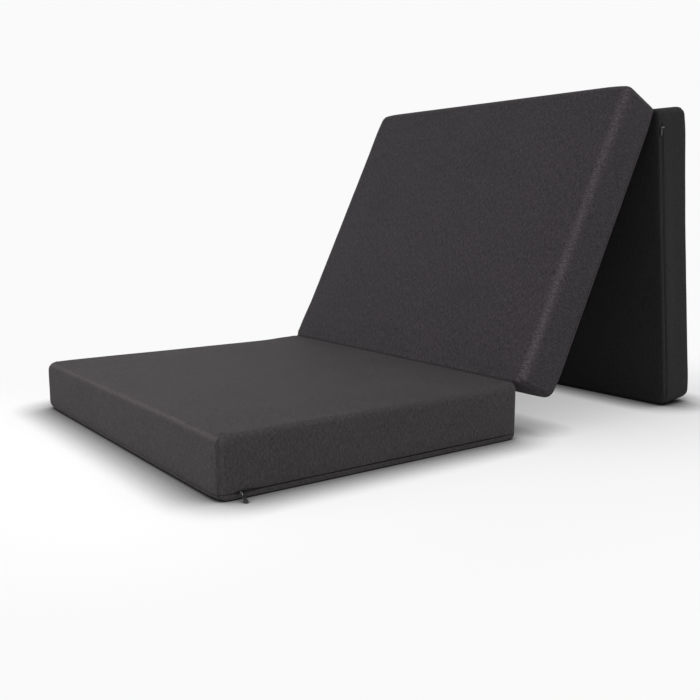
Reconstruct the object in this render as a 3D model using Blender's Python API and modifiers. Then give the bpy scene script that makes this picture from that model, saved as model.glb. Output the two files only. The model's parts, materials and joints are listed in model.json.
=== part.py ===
"""Tri-fold foam mattress, standing as a floor seat: the front panel lies flat, the middle one leans back
as a backrest and the rear one stands behind it as a prop. Each panel is a zipped cloth case round two foam layers."""

import math
from dataclasses import dataclass

import bmesh
import bpy
from mathutils import Vector

# Panels. The length runs from one hinge line to the next.
PANEL_LENGTH = 0.635
PANEL_WIDTH = 0.787
PANEL_THICKNESS = 0.105
REAR_TILT = math.radians(7)

# Shape of a filled case
TOP_ROLL = 0.012
BOTTOM_ROLL = 0.010
ZIP_SIDE_ROLL = 0.004
HINGE_ROLL = 0.003
CORNER_RADIUS = 0.015
LEAST_CORNER = 0.002
CROWN_DROP = 0.004
CROWN_REACH = 0.130
HINGE_FADE = 0.100
SIDE_DRAW = 0.003
SEAM_RISE = 0.001
CLOTH = 0.001
ROLL_DEPTH_SHARES = (1.0, 0.5, 0.15, 0.0)
UNDER_ROLL_SHARES = (0.0, 0.13, 0.5, 1.0)
WALL_SHARES = (0.0, 0.4, 0.7)
CROWN_SHARES = (0.25, 0.55, 0.9)

# Folds between panels
HINGE_SETBACK = 0.0012
FOLD_CLEARANCE = 0.0003
BINDING_RADIUS = 0.0018
TOUCH_GAP = 0.0003

# Foam
COMFORT_FOAM = 0.025
FOAM_EASE = 0.0008
LEAST_FOAM_ROLL = 0.0016

# Concealed zip
ZIP_END_MARGIN = 0.030
SLIT = 0.006
TAPE_THICKNESS = 0.0006
TAPE_GAP = 0.002
UPPER_TAPE = 0.010
LOWER_TAPE = 0.0055
TAPE_OVERRUN = 0.008
FLAT_PAST_TAPE = 0.002
CHAIN_WIDTH = 0.005
CHAIN_DEPTH = 0.0017
CHAIN_BEVEL_SHARE = 0.33
STOP_LENGTH = 0.004
STOP_WIDTH = 0.006
GROOVE_EASE = 0.0008
CUT_OVERRUN = 0.004

# Zip slider, ring and tab
SLIDER_LENGTH = 0.010
SLIDER_PLATE = 0.0011
SLIDER_LIP = 0.0007
SLIDER_SHOULDER_SHARE = 0.35
BAIL_RADIUS = 0.0006
BAIL_SPAN = 0.0062
BAIL_STAND = 0.003
RING_WIRE = 0.0005
RING_RADIUS = 0.0015
RING_STRAIGHT = 0.004
TAB_REACH = 0.016
TAB_WIDTH = 0.006
TAB_THICKNESS = 0.001
TAB_EYE = 0.0022
TAB_HOLE = 0.001
TAB_CORNER = 0.002
TAB_NECK_SHARE = 0.66
FLOOR_GAP = 0.0003

# Facets
CORNER_STEPS = 4
SIDE_POINTS = 5
ROUND_STEPS = 8
BINDING_SIDES = 10

# Colours, in linear values, with roughness and metallic value
FINISHES = {
    "cover_cloth": ((0.060, 0.060, 0.062, 1), 0.95, 0),
    "underside_cloth": ((0.012, 0.012, 0.013, 1), 0.95, 0),
    "binding_cloth": ((0.018, 0.018, 0.019, 1), 0.9, 0),
    "comfort_foam": ((0.75, 0.72, 0.62, 1), 0.9, 0),
    "base_foam": ((0.20, 0.20, 0.205, 1), 0.9, 0),
    "zip_tape": ((0.012, 0.012, 0.012, 1), 0.85, 0),
    "zip_nylon": ((0.02, 0.02, 0.02, 1), 0.5, 0),
    "zip_metal": ((0.05, 0.05, 0.052, 1), 0.4, 1),
}


@dataclass
class Panel:
    """One panel: which face each end hinges on, the side of its zip, and the end where its slider parks."""

    name: str
    near_hinge: str
    far_hinge: str
    zip_side: int
    parked: int


FRONT = Panel("front", "none", "top", zip_side=1, parked=-1)
MIDDLE = Panel("middle", "top", "underside", zip_side=-1, parked=-1)
REAR = Panel("rear", "underside", "none", zip_side=1, parked=-1)
PANELS = (FRONT, MIDDLE, REAR)

HALF_WIDTH = PANEL_WIDTH / 2
HALF_LENGTH = PANEL_LENGTH / 2 - HINGE_SETBACK
SEAM_HEIGHT = BOTTOM_ROLL + SEAM_RISE
DRAW_START = SEAM_HEIGHT + TAPE_GAP / 2 + UPPER_TAPE + FLAT_PAST_TAPE
ZIP_LENGTH = PANEL_LENGTH - 2 * ZIP_END_MARGIN
SLIDER_TRAVEL = ZIP_LENGTH - SLIDER_LENGTH - 2 * (STOP_LENGTH + TOUCH_GAP)
RING_REACH = RING_STRAIGHT + RING_RADIUS


def clear_scene():
    for thing in list(bpy.data.objects):
        bpy.data.objects.remove(thing, do_unlink=True)


def new_collection(name, shown=True):
    made = bpy.data.collections.new(name)
    made.hide_render = not shown
    bpy.context.scene.collection.children.link(made)
    return made


def new_material(name):
    colour, roughness, metallic = FINISHES[name]
    made = bpy.data.materials.new(name)
    made.use_nodes = True
    shader = made.node_tree.nodes["Principled BSDF"]
    shader.inputs["Base Color"].default_value = colour
    shader.inputs["Roughness"].default_value = roughness
    shader.inputs["Metallic"].default_value = metallic
    made.diffuse_color = colour
    return made


def new_frame(name, collection, parent=None, location=(0, 0, 0), turn=(0, 0, 0)):
    """An empty that carries the pieces of one panel or sits on one joint's axis."""
    made = bpy.data.objects.new(name, None)
    collection.objects.link(made)
    made.parent = parent
    made.location = location
    made.rotation_euler = turn
    return made


def new_piece(name, mesh_builder, material, collection, parent, location=(0, 0, 0), turn=(0, 0, 0), smooth=None):
    """A named object from a finished bmesh. smooth is the greatest angle that is shaded round."""
    mesh = bpy.data.meshes.new(name)
    mesh_builder.to_mesh(mesh)
    mesh_builder.free()
    mesh.materials.append(material)
    if smooth is not None:
        mesh.shade_smooth()
        mesh.set_sharp_from_angle(angle=smooth)
    made = bpy.data.objects.new(name, mesh)
    collection.objects.link(made)
    made.parent = parent
    made.location = location
    made.rotation_euler = turn
    return made


def cut(piece, cutter, operation="DIFFERENCE"):
    boolean = piece.modifiers.new(operation.lower(), "BOOLEAN")
    boolean.operation = operation
    boolean.object = cutter


def block(size, centre=(0, 0, 0)):
    """A box primitive of the given size, as a bmesh."""
    made = bmesh.new()
    bmesh.ops.create_cube(made, size=1)
    bmesh.ops.scale(made, vec=size, verts=made.verts)
    bmesh.ops.translate(made, vec=centre, verts=made.verts)
    return made


def ease(share):
    """0 to 1 with level ends."""
    share = min(max(share, 0), 1)
    return share * share * (3 - 2 * share)


def roll_inset(radius, depth):
    """How far a rolled edge of this radius stands back, at a depth below the face that it rolls into."""
    if depth >= radius:
        return 0
    return radius - math.sqrt(radius**2 - (radius - depth) ** 2)


@dataclass
class Skin:
    """The outer form of one filled case, or of a foam block that lies inset within it."""

    panel: Panel
    inset: float = 0

    def side_rolls(self, hinged_face, plain_roll):
        """Roll radius of the left, right, near and far edges of one face."""
        ends = [
            HINGE_ROLL if hinge == hinged_face else plain_roll
            for hinge in (self.panel.near_hinge, self.panel.far_hinge)
        ]
        sides = [plain_roll, plain_roll]
        if hinged_face == "underside":
            sides[(self.panel.zip_side + 1) // 2] = ZIP_SIDE_ROLL
        least = LEAST_FOAM_ROLL if self.inset else 0
        return [max(roll - self.inset, least) for roll in sides + ends]

    def outline(self, insets):
        """Points of a rounded rectangle, anticlockwise, stood in by (left, right, near, far)."""
        left, right, near, far = (self.inset + inset for inset in insets)
        corners = (
            (HALF_WIDTH - right, near - HALF_LENGTH, -math.pi / 2),
            (HALF_WIDTH - right, HALF_LENGTH - far, 0),
            (left - HALF_WIDTH, HALF_LENGTH - far, math.pi / 2),
            (left - HALF_WIDTH, near - HALF_LENGTH, math.pi),
        )
        radius = max(CORNER_RADIUS - self.inset - max(insets), LEAST_CORNER)
        arcs = []
        for x, y, start in corners:
            centre_x = x - math.copysign(radius, x)
            centre_y = y - math.copysign(radius, y)
            steps = range(CORNER_STEPS + 1)
            angles = [start + math.pi / 2 * step / CORNER_STEPS for step in steps]
            arcs.append([(centre_x + radius * math.cos(a), centre_y + radius * math.sin(a)) for a in angles])
        points = []
        for arc, following in zip(arcs, arcs[1:] + arcs[:1]):
            points += arc
            (x0, y0), (x1, y1) = arc[-1], following[0]
            for step in range(1, SIDE_POINTS + 1):
                share = step / (SIDE_POINTS + 1)
                points.append((x0 + (x1 - x0) * share, y0 + (y1 - y0) * share))
        return points

    def drawn_in(self, x, y, z):
        """The free sides pull in between the corners, above the zip."""
        across, along = x / HALF_WIDTH, y / HALF_LENGTH
        pull = SIDE_DRAW * ease((z - DRAW_START) / (PANEL_THICKNESS / 2 - DRAW_START))
        free_end = self.panel.far_hinge if y > 0 else self.panel.near_hinge
        new_x = x - pull * across * (1 - min(along**2, 1))
        new_y = y
        if free_end == "none":
            new_y = y - pull * along * (1 - min(across**2, 1))
        return new_x, new_y

    def crown_drop(self, x, y):
        """How far the sleeping face has fallen, at this place, from its level middle."""
        level = ease((HALF_WIDTH - abs(x)) / CROWN_REACH)
        fade = 1
        for hinge, gap in ((self.panel.near_hinge, y + HALF_LENGTH), (self.panel.far_hinge, HALF_LENGTH - y)):
            if hinge == "top":
                fade *= ease(gap / HINGE_FADE)
            else:
                level *= ease(gap / CROWN_REACH)
        return CROWN_DROP * (1 - level) * fade

    def under_ring(self, z):
        """Ring at a height above the underside's plane."""
        depth = z - self.inset
        insets = [roll_inset(roll, depth) for roll in self.side_rolls("underside", BOTTOM_ROLL)]
        return [Vector((*self.drawn_in(x, y, z), z)) for x, y in self.outline(insets)]

    def top_ring(self, depth, further=0):
        """Ring at a depth below the sleeping face, or further in on that face."""
        insets = [roll_inset(roll, depth) + further for roll in self.side_rolls("top", TOP_ROLL)]
        ring = []
        for x, y in self.outline(insets):
            z = PANEL_THICKNESS - self.inset - self.crown_drop(x, y) - depth
            ring.append(Vector((*self.drawn_in(x, y, z), z)))
        return ring

    def top_rings(self):
        roll = TOP_ROLL - self.inset
        rings = [self.top_ring(share * roll) for share in ROLL_DEPTH_SHARES]
        return rings + [self.top_ring(0, share * CROWN_REACH) for share in CROWN_SHARES]


def loft(rings, close_first=False, close_last=False):
    """A skin over rings of equal counts, listed upwards."""
    made = bmesh.new()
    loops = [[made.verts.new(point) for point in ring] for ring in rings]
    for lower, upper in zip(loops, loops[1:]):
        for step in range(len(lower)):
            following = (step + 1) % len(lower)
            made.faces.new((lower[step], lower[following], upper[following], upper[step]))
    if close_first:
        made.faces.new(reversed(loops[0]))
    if close_last:
        made.faces.new(loops[-1])
    return made


def thicken(piece):
    wall = piece.modifiers.new("cloth", "SOLIDIFY")
    wall.thickness = CLOTH
    wall.offset = -1
    wall.use_even_offset = True


def cover_piece(panel, carrier, parts, cutters, materials):
    """Top and four sides of the case, open at the seam near the floor."""
    skin = Skin(panel)
    bottom = SEAM_HEIGHT + TOUCH_GAP / 2
    top = PANEL_THICKNESS - TOP_ROLL
    rings = [skin.under_ring(bottom)]
    rings += [skin.under_ring(DRAW_START + (top - DRAW_START) * share) for share in WALL_SHARES]
    rings += skin.top_rings()
    shell = loft(rings, close_last=True)
    piece = new_piece(panel.name + "_cover", shell, materials["cover_cloth"], parts, carrier, smooth=math.radians(40))
    thicken(piece)
    cut(piece, cutters[panel.name + "_slit_cutter"])


def underside_piece(panel, carrier, parts, cutters, materials):
    """Shallow tray that closes the case, with its edges rolled up to the seam."""
    skin = Skin(panel)
    heights = [share * BOTTOM_ROLL for share in UNDER_ROLL_SHARES] + [SEAM_HEIGHT - TOUCH_GAP / 2]
    tray = loft([skin.under_ring(z) for z in heights], close_first=True)
    cloth = materials["underside_cloth"]
    piece = new_piece(panel.name + "_underside", tray, cloth, parts, carrier, smooth=math.radians(40))
    thicken(piece)
    cut(piece, cutters[panel.name + "_slit_cutter"])


def foam_pieces(panel, carrier, parts, cutters, materials):
    """Firm base layer with a comfort layer on it, both a little inside the cloth."""
    inset = CLOTH + FOAM_EASE
    skin = Skin(panel, inset)
    joint = PANEL_THICKNESS - inset - COMFORT_FOAM
    rolled = [inset + share * (BOTTOM_ROLL - inset) for share in UNDER_ROLL_SHARES]
    base_heights = rolled + [PANEL_THICKNESS / 2, joint - TOUCH_GAP / 2]
    base = loft([skin.under_ring(z) for z in base_heights], close_first=True, close_last=True)
    base_piece = new_piece(panel.name + "_base_foam", base, materials["base_foam"], parts, carrier)
    cut(base_piece, cutters[panel.name + "_groove_cutter"])
    rings = [skin.under_ring(joint + TOUCH_GAP / 2)] + skin.top_rings()
    comfort = loft(rings, close_first=True, close_last=True)
    new_piece(panel.name + "_comfort_foam", comfort, materials["comfort_foam"], parts, carrier)


def tape_face():
    """Distance from the case's outer wall in to the outer face of the zip tapes."""
    return CLOTH + TOUCH_GAP


def plate_face():
    """Distance in to the outer face of the slider's plate."""
    return tape_face() + TAPE_THICKNESS + TOUCH_GAP


def chain_face():
    """Distance in to the outer face of the chain."""
    return plate_face() + SLIDER_PLATE + TOUCH_GAP


def groove_depth():
    return chain_face() + CHAIN_DEPTH + GROOVE_EASE


def zip_cutters(panel, zip_frame, helpers):
    """The slit in the case's wall, and the room for the zip in the base foam."""
    slit_size = (2 * CUT_OVERRUN, ZIP_LENGTH, SLIT)
    slit = block(slit_size)
    groove_length = ZIP_LENGTH + 2 * (TAPE_OVERRUN + GROOVE_EASE)
    groove_top = TAPE_GAP / 2 + UPPER_TAPE + GROOVE_EASE
    groove_foot = TAPE_GAP / 2 + LOWER_TAPE + GROOVE_EASE
    groove_size = (groove_depth() + CUT_OVERRUN, groove_length, groove_top + groove_foot)
    groove_centre = ((CUT_OVERRUN - groove_depth()) / 2, 0, (groove_top - groove_foot) / 2)
    groove = block(groove_size, groove_centre)
    cutters = {}
    for name, shape in (("_slit_cutter", slit), ("_groove_cutter", groove)):
        cutter = new_piece(panel.name + name, shape, None, helpers, zip_frame)
        cutter.hide_render = True
        cutter.display_type = "WIRE"
        cutters[cutter.name] = cutter
    return cutters


def zip_band_pieces(panel, zip_frame, parts, materials):
    """Two tapes behind the slit's lips, the closed chain behind them, and a stop at each end of the chain."""
    tape_length = ZIP_LENGTH + 2 * TAPE_OVERRUN
    tape_x = -tape_face() - TAPE_THICKNESS / 2
    for name, height, direction in (("upper", UPPER_TAPE, 1), ("lower", LOWER_TAPE, -1)):
        size = (TAPE_THICKNESS, tape_length, height)
        tape = block(size, (tape_x, 0, direction * (TAPE_GAP + height) / 2))
        new_piece(f"{panel.name}_zip_{name}_tape", tape, materials["zip_tape"], parts, zip_frame)
    chain_x = -chain_face() - CHAIN_DEPTH / 2
    chain_length = ZIP_LENGTH - 2 * (STOP_LENGTH + TOUCH_GAP)
    chain = block((CHAIN_DEPTH, chain_length, CHAIN_WIDTH), (chain_x, 0, 0))
    bmesh.ops.bevel(
        chain,
        geom=[e for e in chain.edges if abs(e.verts[0].co.y - e.verts[1].co.y) > CHAIN_WIDTH],
        offset=CHAIN_DEPTH * CHAIN_BEVEL_SHARE,
        segments=1,
        affect="EDGES",
    )
    new_piece(panel.name + "_zip_chain", chain, materials["zip_nylon"], parts, zip_frame)
    for name, end in (("near", -1), ("far", 1)):
        size = (CHAIN_DEPTH, STOP_LENGTH, STOP_WIDTH)
        stop = block(size, (chain_x, end * panel.zip_side * (ZIP_LENGTH - STOP_LENGTH) / 2, 0))
        new_piece(f"{panel.name}_zip_{name}_stop", stop, materials["zip_metal"], parts, zip_frame)


def rod(start, end, radius, sides):
    """A closed cylinder primitive between two points."""
    made = bmesh.new()
    length = (Vector(end) - Vector(start)).length
    bmesh.ops.create_cone(
        made, cap_ends=True, segments=sides, radius1=radius, radius2=radius, depth=length
    )
    turn = Vector((0, 0, 1)).rotation_difference(Vector(end) - Vector(start)).to_matrix()
    bmesh.ops.rotate(made, cent=(0, 0, 0), matrix=turn, verts=made.verts)
    bmesh.ops.translate(made, vec=(Vector(start) + Vector(end)) / 2, verts=made.verts)
    return made


def helper_piece(name, shape, helpers, parent):
    made = new_piece(name, shape, None, helpers, parent)
    made.hide_render = True
    made.display_type = "WIRE"
    return made


def flat_plate(name, outlines, thickness, material, collection, parent):
    """A flat outline, with holes if more outlines follow the first, as a mesh object centred on its thickness."""
    curve = bpy.data.curves.new(name, "CURVE")
    curve.dimensions = "2D"
    curve.fill_mode = "BOTH"
    curve.extrude = thickness / 2
    for points in outlines:
        spline = curve.splines.new("POLY")
        spline.points.add(len(points) - 1)
        for point, (x, y) in zip(spline.points, points):
            point.co = (x, y, 0, 1)
        spline.use_cyclic_u = True
    source = bpy.data.objects.new(name + "_outline", curve)
    collection.objects.link(source)
    graph = bpy.context.evaluated_depsgraph_get()
    mesh = bpy.data.meshes.new_from_object(source.evaluated_get(graph))
    bpy.data.objects.remove(source, do_unlink=True)
    shape = bmesh.new()
    shape.from_mesh(mesh)
    bpy.data.meshes.remove(mesh)
    bmesh.ops.remove_doubles(shape, verts=shape.verts, dist=FLOOR_GAP / 10)
    return new_piece(name, shape, material, collection, parent)


def arc(centre, radius, start, end, steps):
    """Points on an arc, both ends included, angles in degrees."""
    angles = [math.radians(start + (end - start) * step / steps) for step in range(steps + 1)]
    return [(centre[0] + radius * math.cos(a), centre[1] + radius * math.sin(a)) for a in angles]


def slider_piece(panel, runner, parts, helpers, materials):
    """Slider behind the slit: a plate with two lips round the chain, and a bail that stands out through the slit."""
    half_width = CHAIN_WIDTH / 2 + TOUCH_GAP + SLIDER_LIP
    lip_depth = CHAIN_DEPTH + TOUCH_GAP
    plate_back = -plate_face() - SLIDER_PLATE
    body = block(
        (SLIDER_PLATE + lip_depth, SLIDER_LENGTH, 2 * half_width),
        (plate_back + (SLIDER_PLATE - lip_depth) / 2, 0, 0),
    )
    corner_edges = [e for e in body.edges if abs(e.verts[0].co.x - e.verts[1].co.x) > SLIDER_PLATE]
    bmesh.ops.bevel(
        body, geom=corner_edges, offset=half_width * SLIDER_SHOULDER_SHARE, segments=2, affect="EDGES"
    )
    slider = new_piece(panel.name + "_zip_slider", body, materials["zip_metal"], parts, runner)
    channel_size = (lip_depth + CUT_OVERRUN, SLIDER_LENGTH + CUT_OVERRUN, CHAIN_WIDTH + 2 * TOUCH_GAP)
    channel = block(channel_size, (plate_back - channel_size[0] / 2, 0, 0))
    cut(slider, helper_piece(panel.name + "_channel_cutter", channel, helpers, runner))
    middle_of_plate = plate_back + SLIDER_PLATE / 2
    for name, end in (("low", -1), ("high", 1)):
        y = end * BAIL_SPAN / 2
        leg = rod((middle_of_plate, y, 0), (BAIL_STAND, y, 0), BAIL_RADIUS, ROUND_STEPS)
        cut(slider, helper_piece(f"{panel.name}_bail_{name}_leg", leg, helpers, runner), "UNION")
    reach = BAIL_SPAN / 2 + BAIL_RADIUS
    bar = rod((BAIL_STAND, -reach, 0), (BAIL_STAND, reach, 0), BAIL_RADIUS, ROUND_STEPS)
    cut(slider, helper_piece(panel.name + "_bail_bar", bar, helpers, runner), "UNION")
    return slider


def ring_piece(panel, swing, parts, materials):
    """Wire ring threaded on the bail: two half turns joined by straight runs, in the plane across the chain."""
    half_turns = arc((0, 0), RING_RADIUS, 90, 270, ROUND_STEPS // 2)
    half_turns += arc((RING_STRAIGHT, 0), RING_RADIUS, -90, 90, ROUND_STEPS // 2)
    curve = bpy.data.curves.new(panel.name + "_ring_path", "CURVE")
    curve.dimensions = "3D"
    curve.bevel_depth = RING_WIRE
    curve.bevel_resolution = 1
    spline = curve.splines.new("POLY")
    spline.points.add(len(half_turns) - 1)
    for point, (x, z) in zip(spline.points, half_turns):
        point.co = (x, 0, z, 1)
    spline.use_cyclic_u = True
    curve.materials.append(materials["zip_metal"])
    made = bpy.data.objects.new(panel.name + "_zip_ring", curve)
    parts.objects.link(made)
    made.parent = swing
    return made


def tab_piece(panel, swing, parts, materials):
    """Flat pull tab with a round eye, its hole on the ring's far wire."""
    half = TAB_WIDTH / 2
    neck = math.degrees(math.asin(TAB_NECK_SHARE))
    outline = arc((0, 0), TAB_EYE, neck, 360 - neck, ROUND_STEPS)
    outline += [(TAB_EYE + half / 2, -half)]
    outline += arc((TAB_REACH - TAB_CORNER, TAB_CORNER - half), TAB_CORNER, -90, 0, 2)
    outline += arc((TAB_REACH - TAB_CORNER, half - TAB_CORNER), TAB_CORNER, 0, 90, 2)
    outline += [(TAB_EYE + half / 2, half)]
    hole = arc((0, 0), TAB_HOLE, 0, 360 - 360 / ROUND_STEPS, ROUND_STEPS - 1)
    flat_plate(panel.name + "_zip_tab", (outline, hole), TAB_THICKNESS, materials["zip_metal"], parts, swing)


def resting_ring_turn():
    """Turn of the front panel's ring, about the chain's direction, that lays the tab's tip on the floor."""
    reach = RING_REACH + TAB_REACH
    half = TAB_THICKNESS / 2
    drop = SEAM_HEIGHT - FLOOR_GAP
    return math.asin(drop / math.hypot(reach, half)) - math.atan2(half, reach)


def zip_pieces(panel, carrier, parts, helpers, materials, ring_turn, tab_turn):
    """Everything of one panel's zip. Its frame has X out of the case, Y along the chain and Z up the wall."""
    side = panel.zip_side
    half_turn = math.pi if side < 0 else 0
    place = (side * HALF_WIDTH, 0, SEAM_HEIGHT)
    zip_frame = new_frame(panel.name + "_zip_frame", parts, carrier, place, (0, 0, half_turn))
    zip_band_pieces(panel, zip_frame, parts, materials)
    parked = side * panel.parked * SLIDER_TRAVEL / 2
    runner = new_frame(panel.name + "_zip_runner", parts, zip_frame, (0, parked, 0))
    slider_piece(panel, runner, parts, helpers, materials)
    ring_swing = new_frame(panel.name + "_ring_swing", parts, runner, (BAIL_STAND, 0, 0), (0, ring_turn, 0))
    ring_piece(panel, ring_swing, parts, materials)
    tab_swing = new_frame(panel.name + "_tab_swing", parts, ring_swing, (RING_REACH, 0, 0), (0, 0, tab_turn))
    tab_piece(panel, tab_swing, parts, materials)
    return zip_frame


def binding_piece(name, hinge, parts, materials):
    """Bound seam that joins two cases along their hinge line."""
    half = HALF_WIDTH - CORNER_RADIUS
    binding = rod((-half, 0, 0), (half, 0, 0), BINDING_RADIUS, BINDING_SIDES)
    new_piece(name, binding, materials["binding_cloth"], parts, hinge)


def rear_hinge_height():
    """Height of the rear hinge line at which the tilted rear panel just stands on the floor."""
    skin = Skin(REAR)
    heights = [share * BOTTOM_ROLL for share in UNDER_ROLL_SHARES]
    heights += [SEAM_HEIGHT - TOUCH_GAP / 2, SEAM_HEIGHT + TOUCH_GAP / 2]
    reaches = []
    for z in heights:
        along = max(point.y for point in skin.under_ring(z)) + PANEL_LENGTH / 2
        reaches.append(along * math.cos(REAR_TILT) - (z + FOLD_CLEARANCE) * math.sin(REAR_TILT))
    return max(reaches)


def middle_lean():
    """Angle of the middle panel from the floor, at which its rear hinge line is at that height."""
    across = PANEL_THICKNESS + 2 * FOLD_CLEARANCE
    rise = rear_hinge_height() - PANEL_THICKNESS - FOLD_CLEARANCE
    return math.asin(rise / math.hypot(PANEL_LENGTH, across)) + math.atan2(across, PANEL_LENGTH)


def build_panel(panel, carrier, parts, helpers, materials, ring_turn, tab_turn):
    zip_frame = zip_pieces(panel, carrier, parts, helpers, materials, ring_turn, tab_turn)
    cutters = zip_cutters(panel, zip_frame, helpers)
    cover_piece(panel, carrier, parts, cutters, materials)
    underside_piece(panel, carrier, parts, cutters, materials)
    foam_pieces(panel, carrier, parts, cutters, materials)


def main():
    clear_scene()
    parts = new_collection("folding_mattress")
    helpers = new_collection("cutters", shown=False)
    materials = {name: new_material(name) for name in FINISHES}
    lean = middle_lean()
    half = PANEL_LENGTH / 2
    top = PANEL_THICKNESS + FOLD_CLEARANCE
    front = new_frame("front_panel_frame", parts)
    front_hinge = new_frame("front_hinge", parts, front, (0, half, top), (lean, 0, 0))
    middle = new_frame("middle_panel_frame", parts, front_hinge, (0, half, -top))
    fold = REAR_TILT - math.pi / 2 - lean
    rear_hinge = new_frame("rear_hinge", parts, middle, (0, half, -FOLD_CLEARANCE), (fold, 0, 0))
    rear = new_frame("rear_panel_frame", parts, rear_hinge, (0, half, FOLD_CLEARANCE))
    hanging = math.pi / 2
    middle_plumb = -MIDDLE.zip_side * lean
    rear_plumb = REAR.zip_side * (hanging - REAR_TILT)
    build_panel(FRONT, front, parts, helpers, materials, resting_ring_turn(), 0)
    build_panel(MIDDLE, middle, parts, helpers, materials, hanging, middle_plumb)
    build_panel(REAR, rear, parts, helpers, materials, hanging, rear_plumb)
    binding_piece("front_hinge_binding", front_hinge, parts, materials)
    binding_piece("rear_hinge_binding", rear_hinge, parts, materials)


main()
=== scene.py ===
"""Dresses a folding mattress that stands as a floor seat: cases, foam, seams, zips and a plain studio."""

import json
import math
from dataclasses import dataclass

import bmesh
import bpy
import numpy as np
from bpy.props import FloatProperty, FloatVectorProperty, PointerProperty
from mathutils import Matrix, Vector


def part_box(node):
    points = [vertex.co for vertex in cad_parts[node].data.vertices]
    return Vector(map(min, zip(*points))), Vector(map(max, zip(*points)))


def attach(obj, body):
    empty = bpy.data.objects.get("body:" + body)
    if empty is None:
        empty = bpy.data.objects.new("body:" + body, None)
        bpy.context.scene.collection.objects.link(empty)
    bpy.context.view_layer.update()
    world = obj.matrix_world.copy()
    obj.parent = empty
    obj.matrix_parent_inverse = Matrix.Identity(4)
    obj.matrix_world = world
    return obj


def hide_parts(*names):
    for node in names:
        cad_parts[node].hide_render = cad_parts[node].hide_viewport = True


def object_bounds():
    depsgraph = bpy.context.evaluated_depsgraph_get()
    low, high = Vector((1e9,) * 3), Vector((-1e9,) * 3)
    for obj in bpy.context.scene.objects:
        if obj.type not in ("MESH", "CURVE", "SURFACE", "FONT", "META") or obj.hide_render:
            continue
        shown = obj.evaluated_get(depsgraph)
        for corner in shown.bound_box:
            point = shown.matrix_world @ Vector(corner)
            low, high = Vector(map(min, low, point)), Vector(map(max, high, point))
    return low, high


bl_info = {
    "name": "Folding Mattress",
    "version": (1, 0, 0),
    "blender": (4, 5, 0),
    "location": "3D View > Sidebar > Mattress",
    "description": "Dresses a folding mattress with cloth cases, seams, zips and a plain studio",
    "category": "Object",
}

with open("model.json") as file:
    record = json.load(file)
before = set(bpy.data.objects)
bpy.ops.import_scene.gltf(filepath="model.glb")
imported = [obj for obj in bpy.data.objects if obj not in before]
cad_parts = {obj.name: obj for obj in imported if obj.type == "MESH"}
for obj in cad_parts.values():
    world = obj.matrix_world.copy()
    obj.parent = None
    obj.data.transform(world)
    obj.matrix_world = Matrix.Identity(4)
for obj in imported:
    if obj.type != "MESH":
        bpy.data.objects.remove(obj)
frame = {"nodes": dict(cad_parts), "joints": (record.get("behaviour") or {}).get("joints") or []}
SOLID_BOX = [list(corner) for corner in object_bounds()]
JOINTS = {joint["name"]: joint for joint in frame["joints"]}

MM = 0.001
QUARTER = math.pi / 2
EIGHTH = math.pi / 4

# The frame gives the panels' real sizes.
CASE_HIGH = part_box("front_cover")[1]
HALF_WIDTH = CASE_HIGH.x
HALF_LENGTH = CASE_HIGH.y
THICKNESS = CASE_HIGH.z
SEAM_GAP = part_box("front_cover")[0].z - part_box("front_underside")[1].z
SEAM_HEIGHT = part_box("front_underside")[1].z + SEAM_GAP / 2
ZIP_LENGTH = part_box("front_zip_far_stop")[1].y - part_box("front_zip_near_stop")[0].y
SIDES = ("right", "far", "left", "near")

# How a case is cut
LEAST_ROLL = 1.4 * MM
CORNER_REACH = 28 * MM  # of the extra fullness beside a corner
CORNER_SHARE = 0.93  # of the corner's radius, where the rings end and the face's grid starts
FOLD_REACH = 100 * MM  # from a fold on the sleeping face to its full crown
STRAIGHT_FOOT = 24 * MM  # of the walls, below which they don't draw in
WALL_STATIONS = 12
WALL_CROWDING = 1.25  # over 1, the stations lie closer near the seam
SLIT_TAPER = 12 * MM  # at both ends of the slit
MOUTH, MOUTH_TAPER = 4 * MM, 30 * MM  # beyond the front slider: the open length, and the one that closes
HEM = 1.1 * MM
HEM_DEPTH = 4 * MM
HEM_STEP = 0.3 * MM
HEM_ROUND = ((1.0, 0.1), (0.3, 0.3))  # insets and rises of the hem's round, as shares of the hem
TIGHT_HEM = 0.35  # share of the hem away from the zip
OPEN_HEM = 0.5 * MM  # opening at which the hem is full
FOAM_CELL = 45 * MM
SOFT_EDGE = 50  # degrees, past which an edge is shaded sharp

# Where the cloth is marked, as distances from the rim, the face or the corner's seam; the hem and seam marks
# paint shade, the gleam paints a highlight
HEM_MARK, LEAST_HEM_MARK = 4 * MM, 0.1
SEAM_MARK, SEAM_SHARE = 2.5 * MM, 0.6
BAND_FOOT = 2 * MM
GROOVE_TOP, GROOVE_TOP_EASE, GROOVE_FOOT_EASE = 4 * MM, 8 * MM, 6 * MM
GROOVE_FADE, GROOVE_FADE_SHARE = 35 * MM, 0.6
GROOVE_WIDTH = 1.7 * MM
SHOULDER, SHOULDER_WIDTH, SHOULDER_SHARE = 5 * MM, 2.5 * MM, 0.35  # the swelling beside a groove
# GLEAM paints a highlight beside each groove.
GLEAM, GLEAM_WIDTH, GLEAM_SHARE = 6 * MM, 3 * MM, 0.5  # the lighter line beside a groove

# How the cloth settles
HELD_RINGS = 5
FOLD_HOLD, FOLD_EASE = 4 * MM, 30 * MM
EDGE_HOLD, EDGE_EASE = 8 * MM, 42 * MM
SETTLING_FRAMES = 20
SMOOTHING_TURNS = 4

# Waves in one uneven field, the spread of their lengths, and the sum that counts as 1
WAVES, WAVE_SPREAD, WAVE_SUM = 9, (0.6, 1.6), 4

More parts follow.
